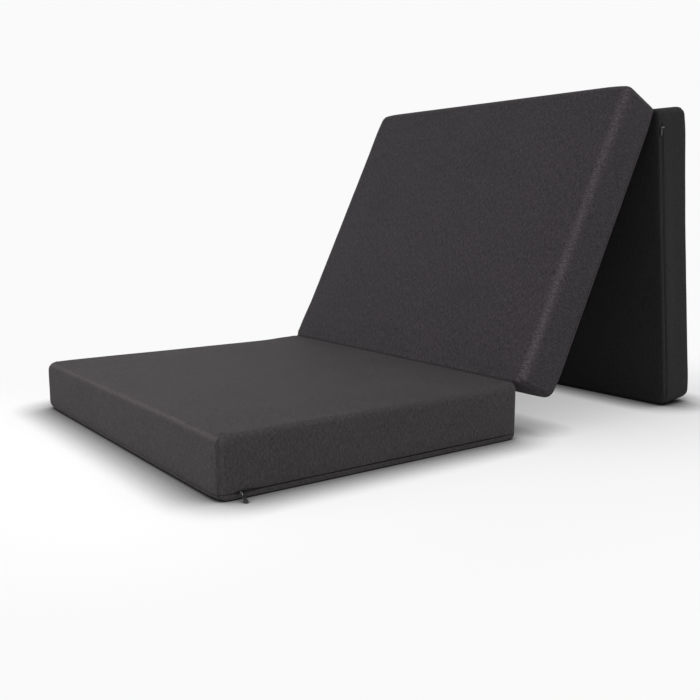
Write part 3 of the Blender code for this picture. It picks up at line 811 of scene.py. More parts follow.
def weave_group():
    """Plain weave: yarn colour with painted shade and highlight, height and roughness, from cloth coordinates
    in metres.
    """
    contrast, light_share = 3.4, 0.42
    cloud_scale, cloud_share, painted_seam_shade = 9, 0.18, 0.28
    gap_shade, yarn_shade = 0.62, 0.45
    fuzz, roughness, fuzz_roughness = 0.35, 0.75, 0.2
    inputs = (
        ("Coordinates", "NodeSocketVector", None),
        ("Yarn", "NodeSocketFloat", COVER_YARN),
        ("Light", "NodeSocketColor", (0.1, 0.1, 0.1, 1)),
        ("Dark", "NodeSocketColor", (0.03, 0.03, 0.03, 1)),
        ("Streaks", "NodeSocketFloat", 1.0),
        ("Edge", "NodeSocketFloat", 0.0),
        ("Seam", "NodeSocketFloat", 0.0),
        ("Stretch", "NodeSocketFloat", 0.5),
    )
    outputs = (("Color", "NodeSocketColor"), ("Height", "NodeSocketFloat"), ("Roughness", "NodeSocketFloat"))
    tree, given, result = group_interface("Weave", inputs, outputs)
    split = add_node(tree, "ShaderNodeSeparateXYZ", {0: given["Coordinates"]}).outputs
    across = maths(tree, "DIVIDE", split["X"], given["Yarn"])
    along = maths(tree, "DIVIDE", split["Y"], given["Yarn"])
    crossing = maths(tree, "ADD", maths(tree, "FLOOR", across), maths(tree, "FLOOR", along))
    parity = maths(tree, "MODULO", maths(tree, "ABSOLUTE", crossing), 2)
    warp_up = maths(tree, "LESS_THAN", parity, 0.5)
    yarns = []
    for place, up in ((across, warp_up), (along, maths(tree, "SUBTRACT", 1, warp_up))):
        arched = maths(tree, "SINE", maths(tree, "MULTIPLY", maths(tree, "FRACT", place), math.pi))
        yarns.append(maths(tree, "MULTIPLY", arched, maths(tree, "MULTIPLY_ADD", up, 0.5, 0.5)))
    height = maths(tree, "MAXIMUM", *yarns)
    streak = 0
    # The last and finest speckle also gives the fuzz.
    for scale, share in STREAKS:
        speckle = stretched_noise(tree, given["Coordinates"], (*scale, 1))
        streak = maths(tree, "ADD", streak, maths(tree, "MULTIPLY", speckle, share))
    cloudy = stretched_noise(tree, given["Coordinates"], (cloud_scale, cloud_scale, 1))
    spread = maths(tree, "MULTIPLY", given["Streaks"], contrast)
    share = maths(tree, "MULTIPLY", maths(tree, "SUBTRACT", streak, 0.5), spread)
    share = maths(tree, "ADD", share, light_share)
    clouds = maths(tree, "MULTIPLY", maths(tree, "SUBTRACT", cloudy, 0.5), cloud_share)
    share = maths(tree, "ADD", share, clouds)
    # Painted shade: the cloth is darker at the seams and hems.
    share = maths(tree, "SUBTRACT", share, maths(tree, "MULTIPLY", given["Seam"], painted_seam_shade))
    share = maths(tree, "MINIMUM", maths(tree, "MAXIMUM", share, 0), 1)
    yarn = mix_colour(tree, share, given["Dark"], given["Light"])
    # Painted highlight: lighter along the edges, by the edge mark times the highlight strength; painted
    # shade: darker in the gaps between the yarns.
    lighter = maths(tree, "MULTIPLY_ADD", given["Edge"], given["Stretch"], 1)
    depth = maths(tree, "MULTIPLY", maths(tree, "MULTIPLY_ADD", height, yarn_shade, gap_shade), lighter)
    grey = add_node(tree, "ShaderNodeCombineColor", {0: depth, 1: depth, 2: depth}).outputs[0]
    results = {
        "Color": mix_colour(tree, 1.0, yarn, grey, "MULTIPLY"),
        "Height": maths(tree, "ADD", height, maths(tree, "MULTIPLY", speckle, fuzz)),
        "Roughness": maths(tree, "MULTIPLY_ADD", speckle, fuzz_roughness, roughness),
    }
    for label, value in results.items():
        tree.links.new(value, result[label])
    return tree


def stretched_noise(tree, coordinates, scale):
    moved = add_node(tree, "ShaderNodeMapping", {"Vector": coordinates, "Scale": scale}, vector_type="POINT")
    inputs = {"Vector": moved.outputs[0], "Scale": 1.0, "Detail": 2.0}
    return add_node(tree, "ShaderNodeTexNoise", inputs, noise_dimensions="2D").outputs[0]


def mesh_mask(tree, name):
    """A mask that the mesh holds as an attribute."""
    return add_node(tree, "ShaderNodeAttribute", attribute_name=name).outputs["Fac"]


def cloth_material(name, weave, light, dark, yarn, streaks, stretch=0.3, band=None):
    """Woven cloth on the piece's own cloth coordinates, with a highlight painted along its edges, as strong
    as stretch says.

    A band gives the light and dark yarn of the strip round an underside.
    """
    material, tree, shader = new_material(name)
    light, dark = opaque(light), opaque(dark)
    if band:
        strip = maths(tree, "GREATER_THAN", mesh_mask(tree, "band"), 0.5)
        light = mix_colour(tree, strip, light, opaque(band[0]))
        dark = mix_colour(tree, strip, dark, opaque(band[1]))
    inputs = {
        "Coordinates": add_node(tree, "ShaderNodeUVMap", uv_map="Cloth").outputs[0],
        "Yarn": yarn,
        "Light": light,
        "Dark": dark,
        "Streaks": streaks,
        "Edge": mesh_mask(tree, "edge"),
        "Seam": mesh_mask(tree, "seam"),
        "Stretch": stretch,
    }
    woven = add_node(tree, "ShaderNodeGroup", inputs, node_tree=weave).outputs
    finish = {
        "Base Color": woven["Color"],
        "Roughness": woven["Roughness"],
        "Normal": raised(tree, woven["Height"], 0.5, 0.3 * MM),
        "Specular IOR Level": 0.2,
        "Sheen Weight": 0.012,
        "Sheen Roughness": 0.5,
    }
    feed(tree, shader, finish)


def raised(tree, height, strength, distance, invert=False):
    """A normal that lifts the surface by a height."""
    inputs = {"Height": height, "Strength": strength, "Distance": distance}
    return add_node(tree, "ShaderNodeBump", inputs, invert=invert).outputs[0]


def foam_material(name, colour):
    """Open-cell foam: small pores, cloudy from place to place."""
    pore_scale, pore_depth, pore_shade = 900.0, 0.8, 0.45
    cloud_scale, cloud_depth = 12.0, 0.2
    material, tree, shader = new_material(name)
    place = add_node(tree, "ShaderNodeTexCoord").outputs["Object"]
    pores = add_node(tree, "ShaderNodeTexVoronoi", {"Vector": place, "Scale": pore_scale}).outputs["Distance"]
    solid = maths(tree, "SUBTRACT", 1, maths(tree, "MULTIPLY", pores, pore_depth))
    clouds = maths(tree, "MULTIPLY_ADD", noise(tree, place, cloud_scale, 3.0), cloud_depth, 1 - cloud_depth)
    share = maths(tree, "MULTIPLY", solid, clouds)
    finish = {
        "Base Color": mix_colour(tree, share, opaque(colour, pore_shade), opaque(colour)),
        "Normal": raised(tree, pores, 0.6, 0.5 * MM, invert=True),
        "Roughness": 0.95,
        "Specular IOR Level": 0.1,
    }
    feed(tree, shader, finish)


def trim_material(name, colour, worn, roughness, grain_scale, grain_depth, metallic=0.0):
    """Small hard or corded parts: fine unevenness, and scuffs here and there."""
    scuff_scale, least_scuff, scuff_share = 700.0, 0.62, 0.5
    grain_roughness = 0.25
    material, tree, shader = new_material(name)
    place = add_node(tree, "ShaderNodeTexCoord").outputs["Object"]
    grain = noise(tree, place, grain_scale, 3.0)
    scuffs = maths(tree, "GREATER_THAN", noise(tree, place, scuff_scale, 4.0), least_scuff)
    share = maths(tree, "MULTIPLY", scuffs, scuff_share)
    finish = {
        "Base Color": mix_colour(tree, share, opaque(colour), opaque(worn)),
        "Normal": raised(tree, grain, 0.4, grain_depth),
        "Roughness": maths(tree, "MULTIPLY_ADD", grain, grain_roughness, roughness),
        "Metallic": metallic,
    }
    feed(tree, shader, finish)


def tinted(colour, tint):
    """A colour times a share, or times a share for each channel."""
    return [value * share for value, share in zip(colour, np.broadcast_to(tint, 3).tolist())]


def build_materials():
    """All finishes of the mattress, built once."""
    colours = bpy.context.scene.mattress_colours
    weave = weave_group()
    black = [tinted(colours.black_cloth, share) for share in (1.5, 0.6)]
    # The tint paints shade on the middle and rear panels' cloth, and on the strip of their black cloth;
    # stretch sets the painted highlight along the edges.
    for name, (tint, stretch, streaks) in COVER_SHADES_AND_LOOKS.items():
        charcoal = [tinted(yarn, tint) for yarn in (colours.light_yarn, colours.dark_yarn)]
        cloth_material(name + "_charcoal_cloth", weave, *charcoal, COVER_YARN, streaks, stretch)
        cloth_material(name + "_black_cloth", weave, *black, COVER_YARN, 1.0, 0.1, band=charcoal)
    trim = colours.trim
    cloth_material("zip_tape_cloth", weave, tinted(trim, 1.4), tinted(trim, 0.7), TRIM_YARN, 0.3)
    cloth_material("binding_cloth", weave, tinted(trim, 1.6), tinted(trim, 0.8), TRIM_YARN, 0.4)
    thread = tinted(trim, 1.7)
    trim_material("sewing_thread", thread, tinted(thread, 1.8), 0.68, 2500.0, 0.1 * MM)
    trim_material("coil_nylon", trim, tinted(trim, 1.8), 0.33, 900.0, 0.05 * MM)
    trim_material("black_lacquer", colours.metal, colours.worn_metal, 0.26, 600.0, 0.05 * MM, 0.6)
    trim_material("bare_nickel", colours.nickel, colours.worn_nickel, 0.23, 600.0, 0.05 * MM, 0.9)
    foam_material("soft_foam", colours.soft_foam)
    foam_material("firm_foam", colours.firm_foam)


def finish_named(name):
    return bpy.data.materials[name]


# Operators


class MattressOperator:
    """Shared settings of this add-on's operators."""

    bl_options = {"REGISTER", "UNDO"}


class MATTRESS_OT_finishes(MattressOperator, bpy.types.Operator):
    """Make the finishes of the cloths, foams and zips"""

    bl_idname = "mattress.finishes"
    bl_label = "Finishes"

    def execute(self, context):
        build_materials()
        return {"FINISHED"}


class MATTRESS_OT_cases(MattressOperator, bpy.types.Operator):
    """Make the cloth case of each panel"""

    bl_idname = "mattress.cases"
    bl_label = "Cloth cases"

    def execute(self, context):
        form = context.scene.mattress_case
        for panel in PANELS:
            skin = Skin(panel, form)
            self.half(panel, skin, "cover", cover_rings(skin), True, panel.name + "_charcoal_cloth")
            self.half(panel, skin, "underside", underside_rings(skin), False, panel.name + "_black_cloth")
        return {"FINISHED"}

    def half(self, panel, skin, part, rings, top, finish):
        """One half of a case, with the thickness of its cloth."""
        name = f"{panel.name}_{part}_cloth"
        thing = add_object(name, skin_mesh(name, skin, rings, top))
        rests = panel.name == "front" and not top
        if not (rests):
            settle_cloth(thing, panel, skin.form, len(skin.run) * (HELD_RINGS if top else len(rings) - 1))
        finer = thing.modifiers.new("finer", "SUBSURF")
        finer.levels = 1
        finer.render_levels = 1
        finer.uv_smooth = "NONE"
        clean_copy(thing)
        slacken(thing.data, panel, skin.form)
        wall = thing.modifiers.new("cloth", "SOLIDIFY")
        wall.thickness = skin.form.cloth
        wall.offset = -1
        clean_copy(thing)
        thing.data.transform(panel.matrix)
        hand_over(thing, panel.body, finish_named(finish), [f"{panel.name}_{part}"])


class MATTRESS_OT_foams(MattressOperator, bpy.types.Operator):
    """Make the two foam layers inside each case"""

    bl_idname = "mattress.foams"
    bl_label = "Foam layers"

    def execute(self, context):
        form = context.scene.mattress_case
        base_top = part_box("front_base_foam")[1].z
        comfort_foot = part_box("front_comfort_foam")[0].z
        for panel in PANELS:
            skin = Skin(panel, form, form.foam_inset, FOAM_CELL)
            still = np.zeros(len(skin.run))
            base = skin.under_rings(skin.inset + skin.under_roll, 3)
            base += [skin.ring(still, THICKNESS / 2), skin.ring(still, base_top)]
            comfort = [skin.ring(still, comfort_foot)] + skin.top_rings(3)
            self.block(panel, skin, "base_foam", base, "firm_foam")
            self.block(panel, skin, "comfort_foam", comfort, "soft_foam")
        return {"FINISHED"}

    def block(self, panel, skin, part, rings, finish):
        """A closed block over a stack of rings."""
        made = bmesh.new()
        loops = [[made.verts.new(point) for point in ring] for ring in rings]
        for lower, upper in zip(loops, loops[1:]):
            for step in range(len(lower)):
                ahead = (step + 1) % len(lower)
                made.faces.new((lower[step], lower[ahead], upper[ahead], upper[step]))
        made.faces.new(loops[0][::-1])
        made.faces.new(loops[-1])
        mesh = bpy.data.meshes.new(f"{panel.name}_{part}_block")
        made.to_mesh(mesh)
        made.free()
        shade(mesh)
        thing = add_object(mesh.name, mesh)
        mesh.transform(panel.matrix)
        hand_over(thing, panel.body, finish_named(finish), [f"{panel.name}_{part}"])


def sweep(name, profile, low, high, segments):
    """Prism over a closed XZ profile along Y, capped, with cloth coordinates in metres."""
    count = len(profile)
    stations = np.linspace(low, high, segments + 1)
    points = [(x, y, z) for y in stations for x, z in profile]
    faces = []
    for station in range(segments):
        for step in range(count):
            ahead = (step + 1) % count
            near, far = station * count, (station + 1) * count
            faces.append((near + step, near + ahead, far + ahead, far + step))
    faces.append(tuple(range(count))[::-1])
    faces.append(tuple(segments * count + step for step in range(count)))
    mesh = bpy.data.meshes.new(name)
    mesh.from_pydata(points, [], faces)
    made = bmesh.new()
    made.from_mesh(mesh)
    bmesh.ops.recalc_face_normals(made, faces=made.faces)
    layer = made.loops.layers.uv.new("Cloth")
    for face in made.faces:
        for loop in face.loops:
            loop[layer].uv = (loop.vert.co.z + loop.vert.co.x, loop.vert.co.y)
    made.to_mesh(mesh)
    made.free()
    return mesh


def rounded_bar(low, high, radius, steps=2):
    """Profile of a rounded rectangle between two XZ corners, anticlockwise."""
    corners = (
        (high[0] - radius, low[1] + radius, -QUARTER),
        (high[0] - radius, high[1] - radius, 0),
        (low[0] + radius, high[1] - radius, QUARTER),
        (low[0] + radius, low[1] + radius, math.pi),
    )
    profile = []
    for x, z, start in corners:
        for step in range(steps + 1):
            angle = start + QUARTER * step / steps
            profile.append((x + radius * math.cos(angle), z + radius * math.sin(angle)))
    return profile


def local_box(node, matrix):
    """Lowest and highest corner of a CAD node in another frame."""
    inverse = matrix.inverted()
    points = [inverse @ vertex.co for vertex in frame["nodes"][node].data.vertices]
    low = Vector([min(point[axis] for point in points) for axis in range(3)])
    high = Vector([max(point[axis] for point in points) for axis in range(3)])
    return low, high


class MATTRESS_OT_zips(MattressOperator, bpy.types.Operator):
    """Make the tapes, coil and stops of each zip"""

    bl_idname = "mattress.zips"
    bl_label = "Zips"

    def execute(self, context):
        tree = coil_tree()
        for panel in PANELS:
            matrix = panel.zip_matrix()
            for tape in ("upper", "lower"):
                self.tape(panel, matrix, tape)
            self.coil(panel, matrix, tree, context.scene.mattress_zip)
            for end in ("near", "far"):
                self.stop(panel, matrix, end)
        return {"FINISHED"}

    def tape(self, panel, matrix, which):
        """Woven tape with a corded edge beside the chain."""
        bead, bead_rise, bead_width, roundness = 0.35 * MM, 0.4, 0.8 * MM, 0.45
        node = f"{panel.name}_zip_{which}_tape"
        low, high = local_box(node, matrix)
        edge, away = (low.z, 1) if which == "upper" else (high.z, -1)
        middle = (low.x + high.x) / 2
        profile = []
        for x, z in rounded_bar((low.x, low.z), (high.x, high.z), (high.x - low.x) * roundness):
            rise = bead * bead_rise * bell((z - edge) * away - bead, bead_width)
            profile.append((x + rise * (x > middle), z))
        mesh = sweep(node + "_cloth", profile, low.y, high.y, 1)
        shade(mesh)
        thing = add_object(mesh.name, mesh)
        mesh.transform(matrix)
        hand_over(thing, panel.body, finish_named("zip_tape_cloth"), [node])

    def coil(self, panel, matrix, tree, sizes):
        """Two rows of nylon loops that mesh along the chain."""
        width_share, first_turn = 0.62, 0.75
        node = panel.name + "_zip_chain"
        low, high = local_box(node, matrix)
        mesh = bpy.data.meshes.new(node + "_coil")
        thing = add_object(mesh.name, mesh)
        inputs = {
            "Turns": int((high.y - low.y) / sizes.coil_pitch) - 1,
            "Pitch": sizes.coil_pitch,
            "Wire": sizes.coil_wire,
            "Width": (high.z - low.z) * width_share,
            "Depth": high.x - low.x,
            "Middle": ((low.x + high.x) / 2, low.y + sizes.coil_pitch * first_turn, 0),
            "Material": finish_named("coil_nylon"),
        }
        grow(thing, tree, inputs)
        thing.data.transform(matrix)
        hand_over(thing, panel.body, finish_named("coil_nylon"), [node])

    def stop(self, panel, matrix, end):
        """Metal staple that ends the chain."""
        node = f"{panel.name}_zip_{end}_stop"
        low, high = local_box(node, matrix)
        profile = rounded_bar((low.x, low.z), (high.x, high.z), 0.4 * MM)
        mesh = sweep(node + "_staple", profile, low.y, high.y, 1)
        thing = add_object(mesh.name, mesh)
        bevel = thing.modifiers.new("edges", "BEVEL")
        bevel.width = 0.2 * MM
        bevel.segments = 2
        clean_copy(thing)
        thing.data.transform(matrix)
        hand_over(thing, panel.body, finish_named("black_lacquer"), [node])


def geometry_group(name, inputs):
    """A geometry node group that puts out one geometry, with its two ends."""
    tree = bpy.data.node_groups.new(name, "GeometryNodeTree")
    tree.interface.new_socket("Geometry", in_out="INPUT", socket_type="NodeSocketGeometry")
    for label, kind in inputs:
        tree.interface.new_socket(label, in_out="INPUT", socket_type=kind)
    tree.interface.new_socket("Geometry", in_out="OUTPUT", socket_type="NodeSocketGeometry")
    return tree, tree.nodes.new("NodeGroupInput").outputs, tree.nodes.new("NodeGroupOutput").inputs


def grow(thing, tree, inputs):
    """Runs a geometry node group on an object with these inputs, and keeps the plain mesh."""
    modifier = thing.modifiers.new("growth", "NODES")
    modifier.node_group = tree
    sockets = {item.name: item.identifier for item in tree.interface.items_tree if item.in_out == "INPUT"}
    for label, value in inputs.items():
        modifier[sockets[label]] = value
    clean_copy(thing)


def put_out(tree, result, geometry, material):
    """Ends a geometry node group with real, smooth and painted geometry."""
    real = add_node(tree, "GeometryNodeRealizeInstances", {"Geometry": geometry}).outputs[0]
    smooth = add_node(tree, "GeometryNodeSetShadeSmooth", {"Geometry": real}).outputs[0]
    painted = add_node(tree, "GeometryNodeSetMaterial", {"Geometry": smooth, "Material": material}).outputs[0]
    tree.links.new(painted, result[0])


def axes_sockets(tree, **axes):
    """A vector from one value or socket for each named axis."""
    inputs = {"XYZ".index(axis): value for axis, value in axes.items()}
    return add_node(tree, "ShaderNodeCombineXYZ", inputs).outputs[0]


def coil_tree():
    """Loops of wire in two rows, half a pitch apart."""
    row_lift, row_shift = 0.3, 0.25
    inputs = (
        ("Turns", "NodeSocketInt"),
        ("Pitch", "NodeSocketFloat"),
        ("Wire", "NodeSocketFloat"),
        ("Width", "NodeSocketFloat"),
        ("Depth", "NodeSocketFloat"),
        ("Middle", "NodeSocketVector"),
        ("Material", "NodeSocketMaterial"),
    )
    tree, given, result = geometry_group("Zip coil", inputs)
    turn = {"Resolution": 8, "Radius": 0.5}
    loop = add_node(tree, "GeometryNodeCurvePrimitiveCircle", turn).outputs["Curve"]
    wide = maths(tree, "SUBTRACT", given["Width"], maths(tree, "MULTIPLY", given["Wire"], 2))
    deep = maths(tree, "SUBTRACT", given["Depth"], maths(tree, "MULTIPLY", given["Wire"], 2))
    stretch = axes_sockets(tree, X=deep, Y=wide, Z=1.0)
    form = {"Geometry": loop, "Scale": stretch, "Rotation": (QUARTER, 0, 0)}
    shaped = add_node(tree, "GeometryNodeTransform", form).outputs[0]
    round_wire = {"Resolution": 4, "Radius": given["Wire"]}
    wire = add_node(tree, "GeometryNodeCurvePrimitiveCircle", round_wire).outputs["Curve"]
    tooth = add_node(tree, "GeometryNodeCurveToMesh", {"Curve": shaped, "Profile Curve": wire}).outputs[0]
    step = axes_sockets(tree, Y=given["Pitch"])
    join = add_node(tree, "GeometryNodeJoinGeometry")
    for side in (-1, 1):
        lift = maths(tree, "MULTIPLY", given["Width"], side * row_lift)
        shift = maths(tree, "MULTIPLY", given["Pitch"], side * row_shift)
        start = vector_maths(tree, "ADD", given["Middle"], axes_sockets(tree, Y=shift, Z=lift))[0]
        places = {"Count": given["Turns"], "Start Location": start, "Offset": step}
        line = add_node(tree, "GeometryNodeMeshLine", places).outputs[0]
        row = add_node(tree, "GeometryNodeInstanceOnPoints", {"Points": line, "Instance": tooth}).outputs[0]
        tree.links.new(row, join.inputs[0])
    put_out(tree, result, join.outputs[0], given["Material"])
    return tree


def stitch_tree():
    """Short rounded stitches spaced along every edge of a path."""
    inputs = (
        ("Pitch", "NodeSocketFloat"),
        ("Length", "NodeSocketFloat"),
        ("Thread", "NodeSocketFloat"),
        ("Material", "NodeSocketMaterial"),
    )
    tree, given, result = geometry_group("Stitches", inputs)
    path = add_node(tree, "GeometryNodeMeshToCurve", {"Mesh": given["Geometry"]}).outputs[0]
    spacing = {"Curve": path, "Length": given["Pitch"]}
    spots = add_node(tree, "GeometryNodeCurveToPoints", spacing, mode="LENGTH").outputs
    ball = add_node(tree, "GeometryNodeMeshUVSphere", {"Segments": 6, "Rings": 4, "Radius": 0.5}).outputs[0]
    stitches = {
        "Points": spots["Points"],
        "Instance": ball,
        "Rotation": spots["Rotation"],
        "Scale": axes_sockets(tree, X=given["Thread"], Y=given["Thread"], Z=given["Length"]),
    }
    placed = add_node(tree, "GeometryNodeInstanceOnPoints", stitches).outputs[0]
    put_out(tree, result, placed, given["Material"])
    return tree


def path_mesh(name, lines):
    """A mesh of open lines through lists of points."""
    points, edges = [], []
    for line in lines:
        start = len(points)
        points += [tuple(point) for point in line]
        edges += [(start + step, start + step + 1) for step in range(len(line) - 1)]
    mesh = bpy.data.meshes.new(name)
    mesh.from_pydata(points, edges, [])
    return mesh


class MATTRESS_OT_stitches(MattressOperator, bpy.types.Operator):
    """Sew the cases to their zips"""

    bl_idname = "mattress.stitches"
    bl_label = "Stitches"

    def execute(self, context):
        past_zip, sunk, above, below = 4 * MM, 0.15 * MM, 3 * MM, 2.2 * MM
        sizes = context.scene.mattress_zip
        lip = context.scene.mattress_case.slit / 2
        reach = ZIP_LENGTH / 2 + past_zip
        along = np.linspace(-reach, reach, 40)
        rows = [[(-sunk, y, height) for y in along] for height in (lip + above, -lip - below)]
        tree = stitch_tree()
        inputs = {
            "Pitch": sizes.stitch_pitch,
            "Length": sizes.stitch_length,
            "Thread": sizes.thread,
            "Material": finish_named("sewing_thread"),
        }
        for panel in PANELS:
            mesh = path_mesh(panel.name + "_zip_stitches", rows)
            thing = add_object(mesh.name, mesh)
            grow(thing, tree, inputs)
            thing.data.transform(panel.zip_matrix())
            hand_over(thing, panel.body, finish_named("sewing_thread"))
        return {"FINISHED"}


class MATTRESS_OT_bindings(MattressOperator, bpy.types.Operator):
    """Make the bound seams that join the cases"""

    bl_idname = "mattress.bindings"
    bl_label = "Hinge bindings"

    def execute(self, context):
        self.binding("front", PANELS[0])
        self.binding("rear", PANELS[1])
        return {"FINISHED"}

    def binding(self, name, panel):
        """Corded strip along a fold, with a fin into the case that it is sewn to."""
        fin, fin_width, trimmed = 1.7, 0.45, 3.5 * MM
        node = name + "_hinge_binding"
        low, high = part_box(node)
        centre = Vector(JOINTS[name + "_fold"]["pos_m"])
        radius = (high.z - low.z) / 2
        into = panel.matrix.to_3x3() @ Vector((0, -1, -1 if panel.far_hinge == "top" else 1))
        inward = math.atan2(into.z, -into.y)
        profile = []
        for angle in np.linspace(0, 2 * math.pi, 24, endpoint=False):
            off = (angle - inward + math.pi) % (2 * math.pi) - math.pi
            reach = radius * (1 + fin * bell(off, fin_width))
            profile.append((reach * math.cos(angle), reach * math.sin(angle)))
        mesh = sweep(node + "_cloth", profile, low.x + trimmed, high.x - trimmed, 120)
        shade(mesh)
        thing = add_object(mesh.name, mesh)
        mesh.transform(Matrix.Translation((0, centre.y, centre.z)) @ Matrix.Rotation(-QUARTER, 4, "Z"))
        hand_over(thing, panel.body, finish_named("binding_cloth"), [node])


def add_spline(curve, path, closed):
    """A straight-edged spline through XY points."""
    spline = curve.splines.new("POLY")
    spline.points.add(len(path) - 1)
    for point, (x, y) in zip(spline.points, path):
        point.co = (x, y, 0, 1)
    spline.use_cyclic_u = closed


def tube(name, path, radius, closed):
    """Smooth tube along XY points, as a mesh."""
    curve = bpy.data.curves.new(name, "CURVE")
    curve.dimensions = "3D"
    curve.bevel_depth = radius
    curve.bevel_resolution = 3
    curve.use_fill_caps = not closed
    add_spline(curve, path, closed)
    return mesh_of_curve(name, curve)


def arc_points(centre, radius, start, end, steps):
    """XY points along an arc between two angles in degrees."""
    angles = np.radians(np.linspace(start, end, steps + 1))
    return [(centre[0] + radius * math.cos(angle), centre[1] + radius * math.sin(angle)) for angle in angles]


def swing_matrices(ring_joint, tab_joint, node):
    """Frames of a ring and of its tab, and the distance of their pivots.

    In each frame X runs towards the free end, and Z across the flat.
    """
    ring_pivot = Vector(JOINTS[ring_joint]["pos_m"])
    tab_pivot = Vector(JOINTS[tab_joint]["pos_m"])
    chain = Vector(JOINTS[ring_joint]["axis"]).normalized()
    ring_x = (tab_pivot - ring_pivot).normalized()
    tab_z = Vector(JOINTS[tab_joint]["axis"]).normalized()
    vertices = frame["nodes"][node].data.vertices
    centre = sum((vertex.co for vertex in vertices), Vector()) / len(vertices)
    tab_x = centre - tab_pivot
    tab_x = (tab_x - tab_z * tab_x.dot(tab_z)).normalized()
    to_ring = axes_matrix(ring_pivot, ring_x, chain)
    to_tab = axes_matrix(tab_pivot, tab_x, tab_z)
    return to_ring, to_tab, (tab_pivot - ring_pivot).length


def axes_matrix(origin, x_axis, z_axis):
    turn = Matrix((x_axis, z_axis.cross(x_axis), z_axis)).transposed()
    return Matrix.Translation(origin) @ turn.to_4x4()


def merge(name, meshes):
    """One mesh of several closed ones."""
    made = bmesh.new()
    for mesh in meshes:
        made.from_mesh(mesh)
        bpy.data.meshes.remove(mesh)
    bmesh.ops.recalc_face_normals(made, faces=made.faces)
    mesh = bpy.data.meshes.new(name)
    made.to_mesh(mesh)
    made.free()
    shade(mesh, 40)
    return mesh


def rounded_plate(name, outlines, thickness, bevel):
    """Flat plate over XY outlines, the first the rim and the others holes, with rounded edges."""
    curve = bpy.data.curves.new(name, "CURVE")
    curve.dimensions = "2D"
    curve.fill_mode = "BOTH"
    curve.extrude = thickness / 2 - bevel
    curve.bevel_depth = bevel
    curve.bevel_resolution = 1
    curve.offset = -bevel
    for outline in outlines:
        add_spline(curve, outline, True)
    return mesh_of_curve(name, curve)


def mesh_of_curve(name, curve):
    """A curve's mesh with its doubled points merged. The curve goes."""
    source = add_object(name + "_path", curve)
    mesh = evaluated_mesh(source)
    bpy.data.objects.remove(source)
    bpy.data.curves.remove(curve)
    mesh.name = name
    made = bmesh.new()
    made.from_mesh(mesh)
    bmesh.ops.remove_doubles(made, verts=made.verts, dist=0.001 * MM)
    made.to_mesh(mesh)
    made.free()
    return mesh


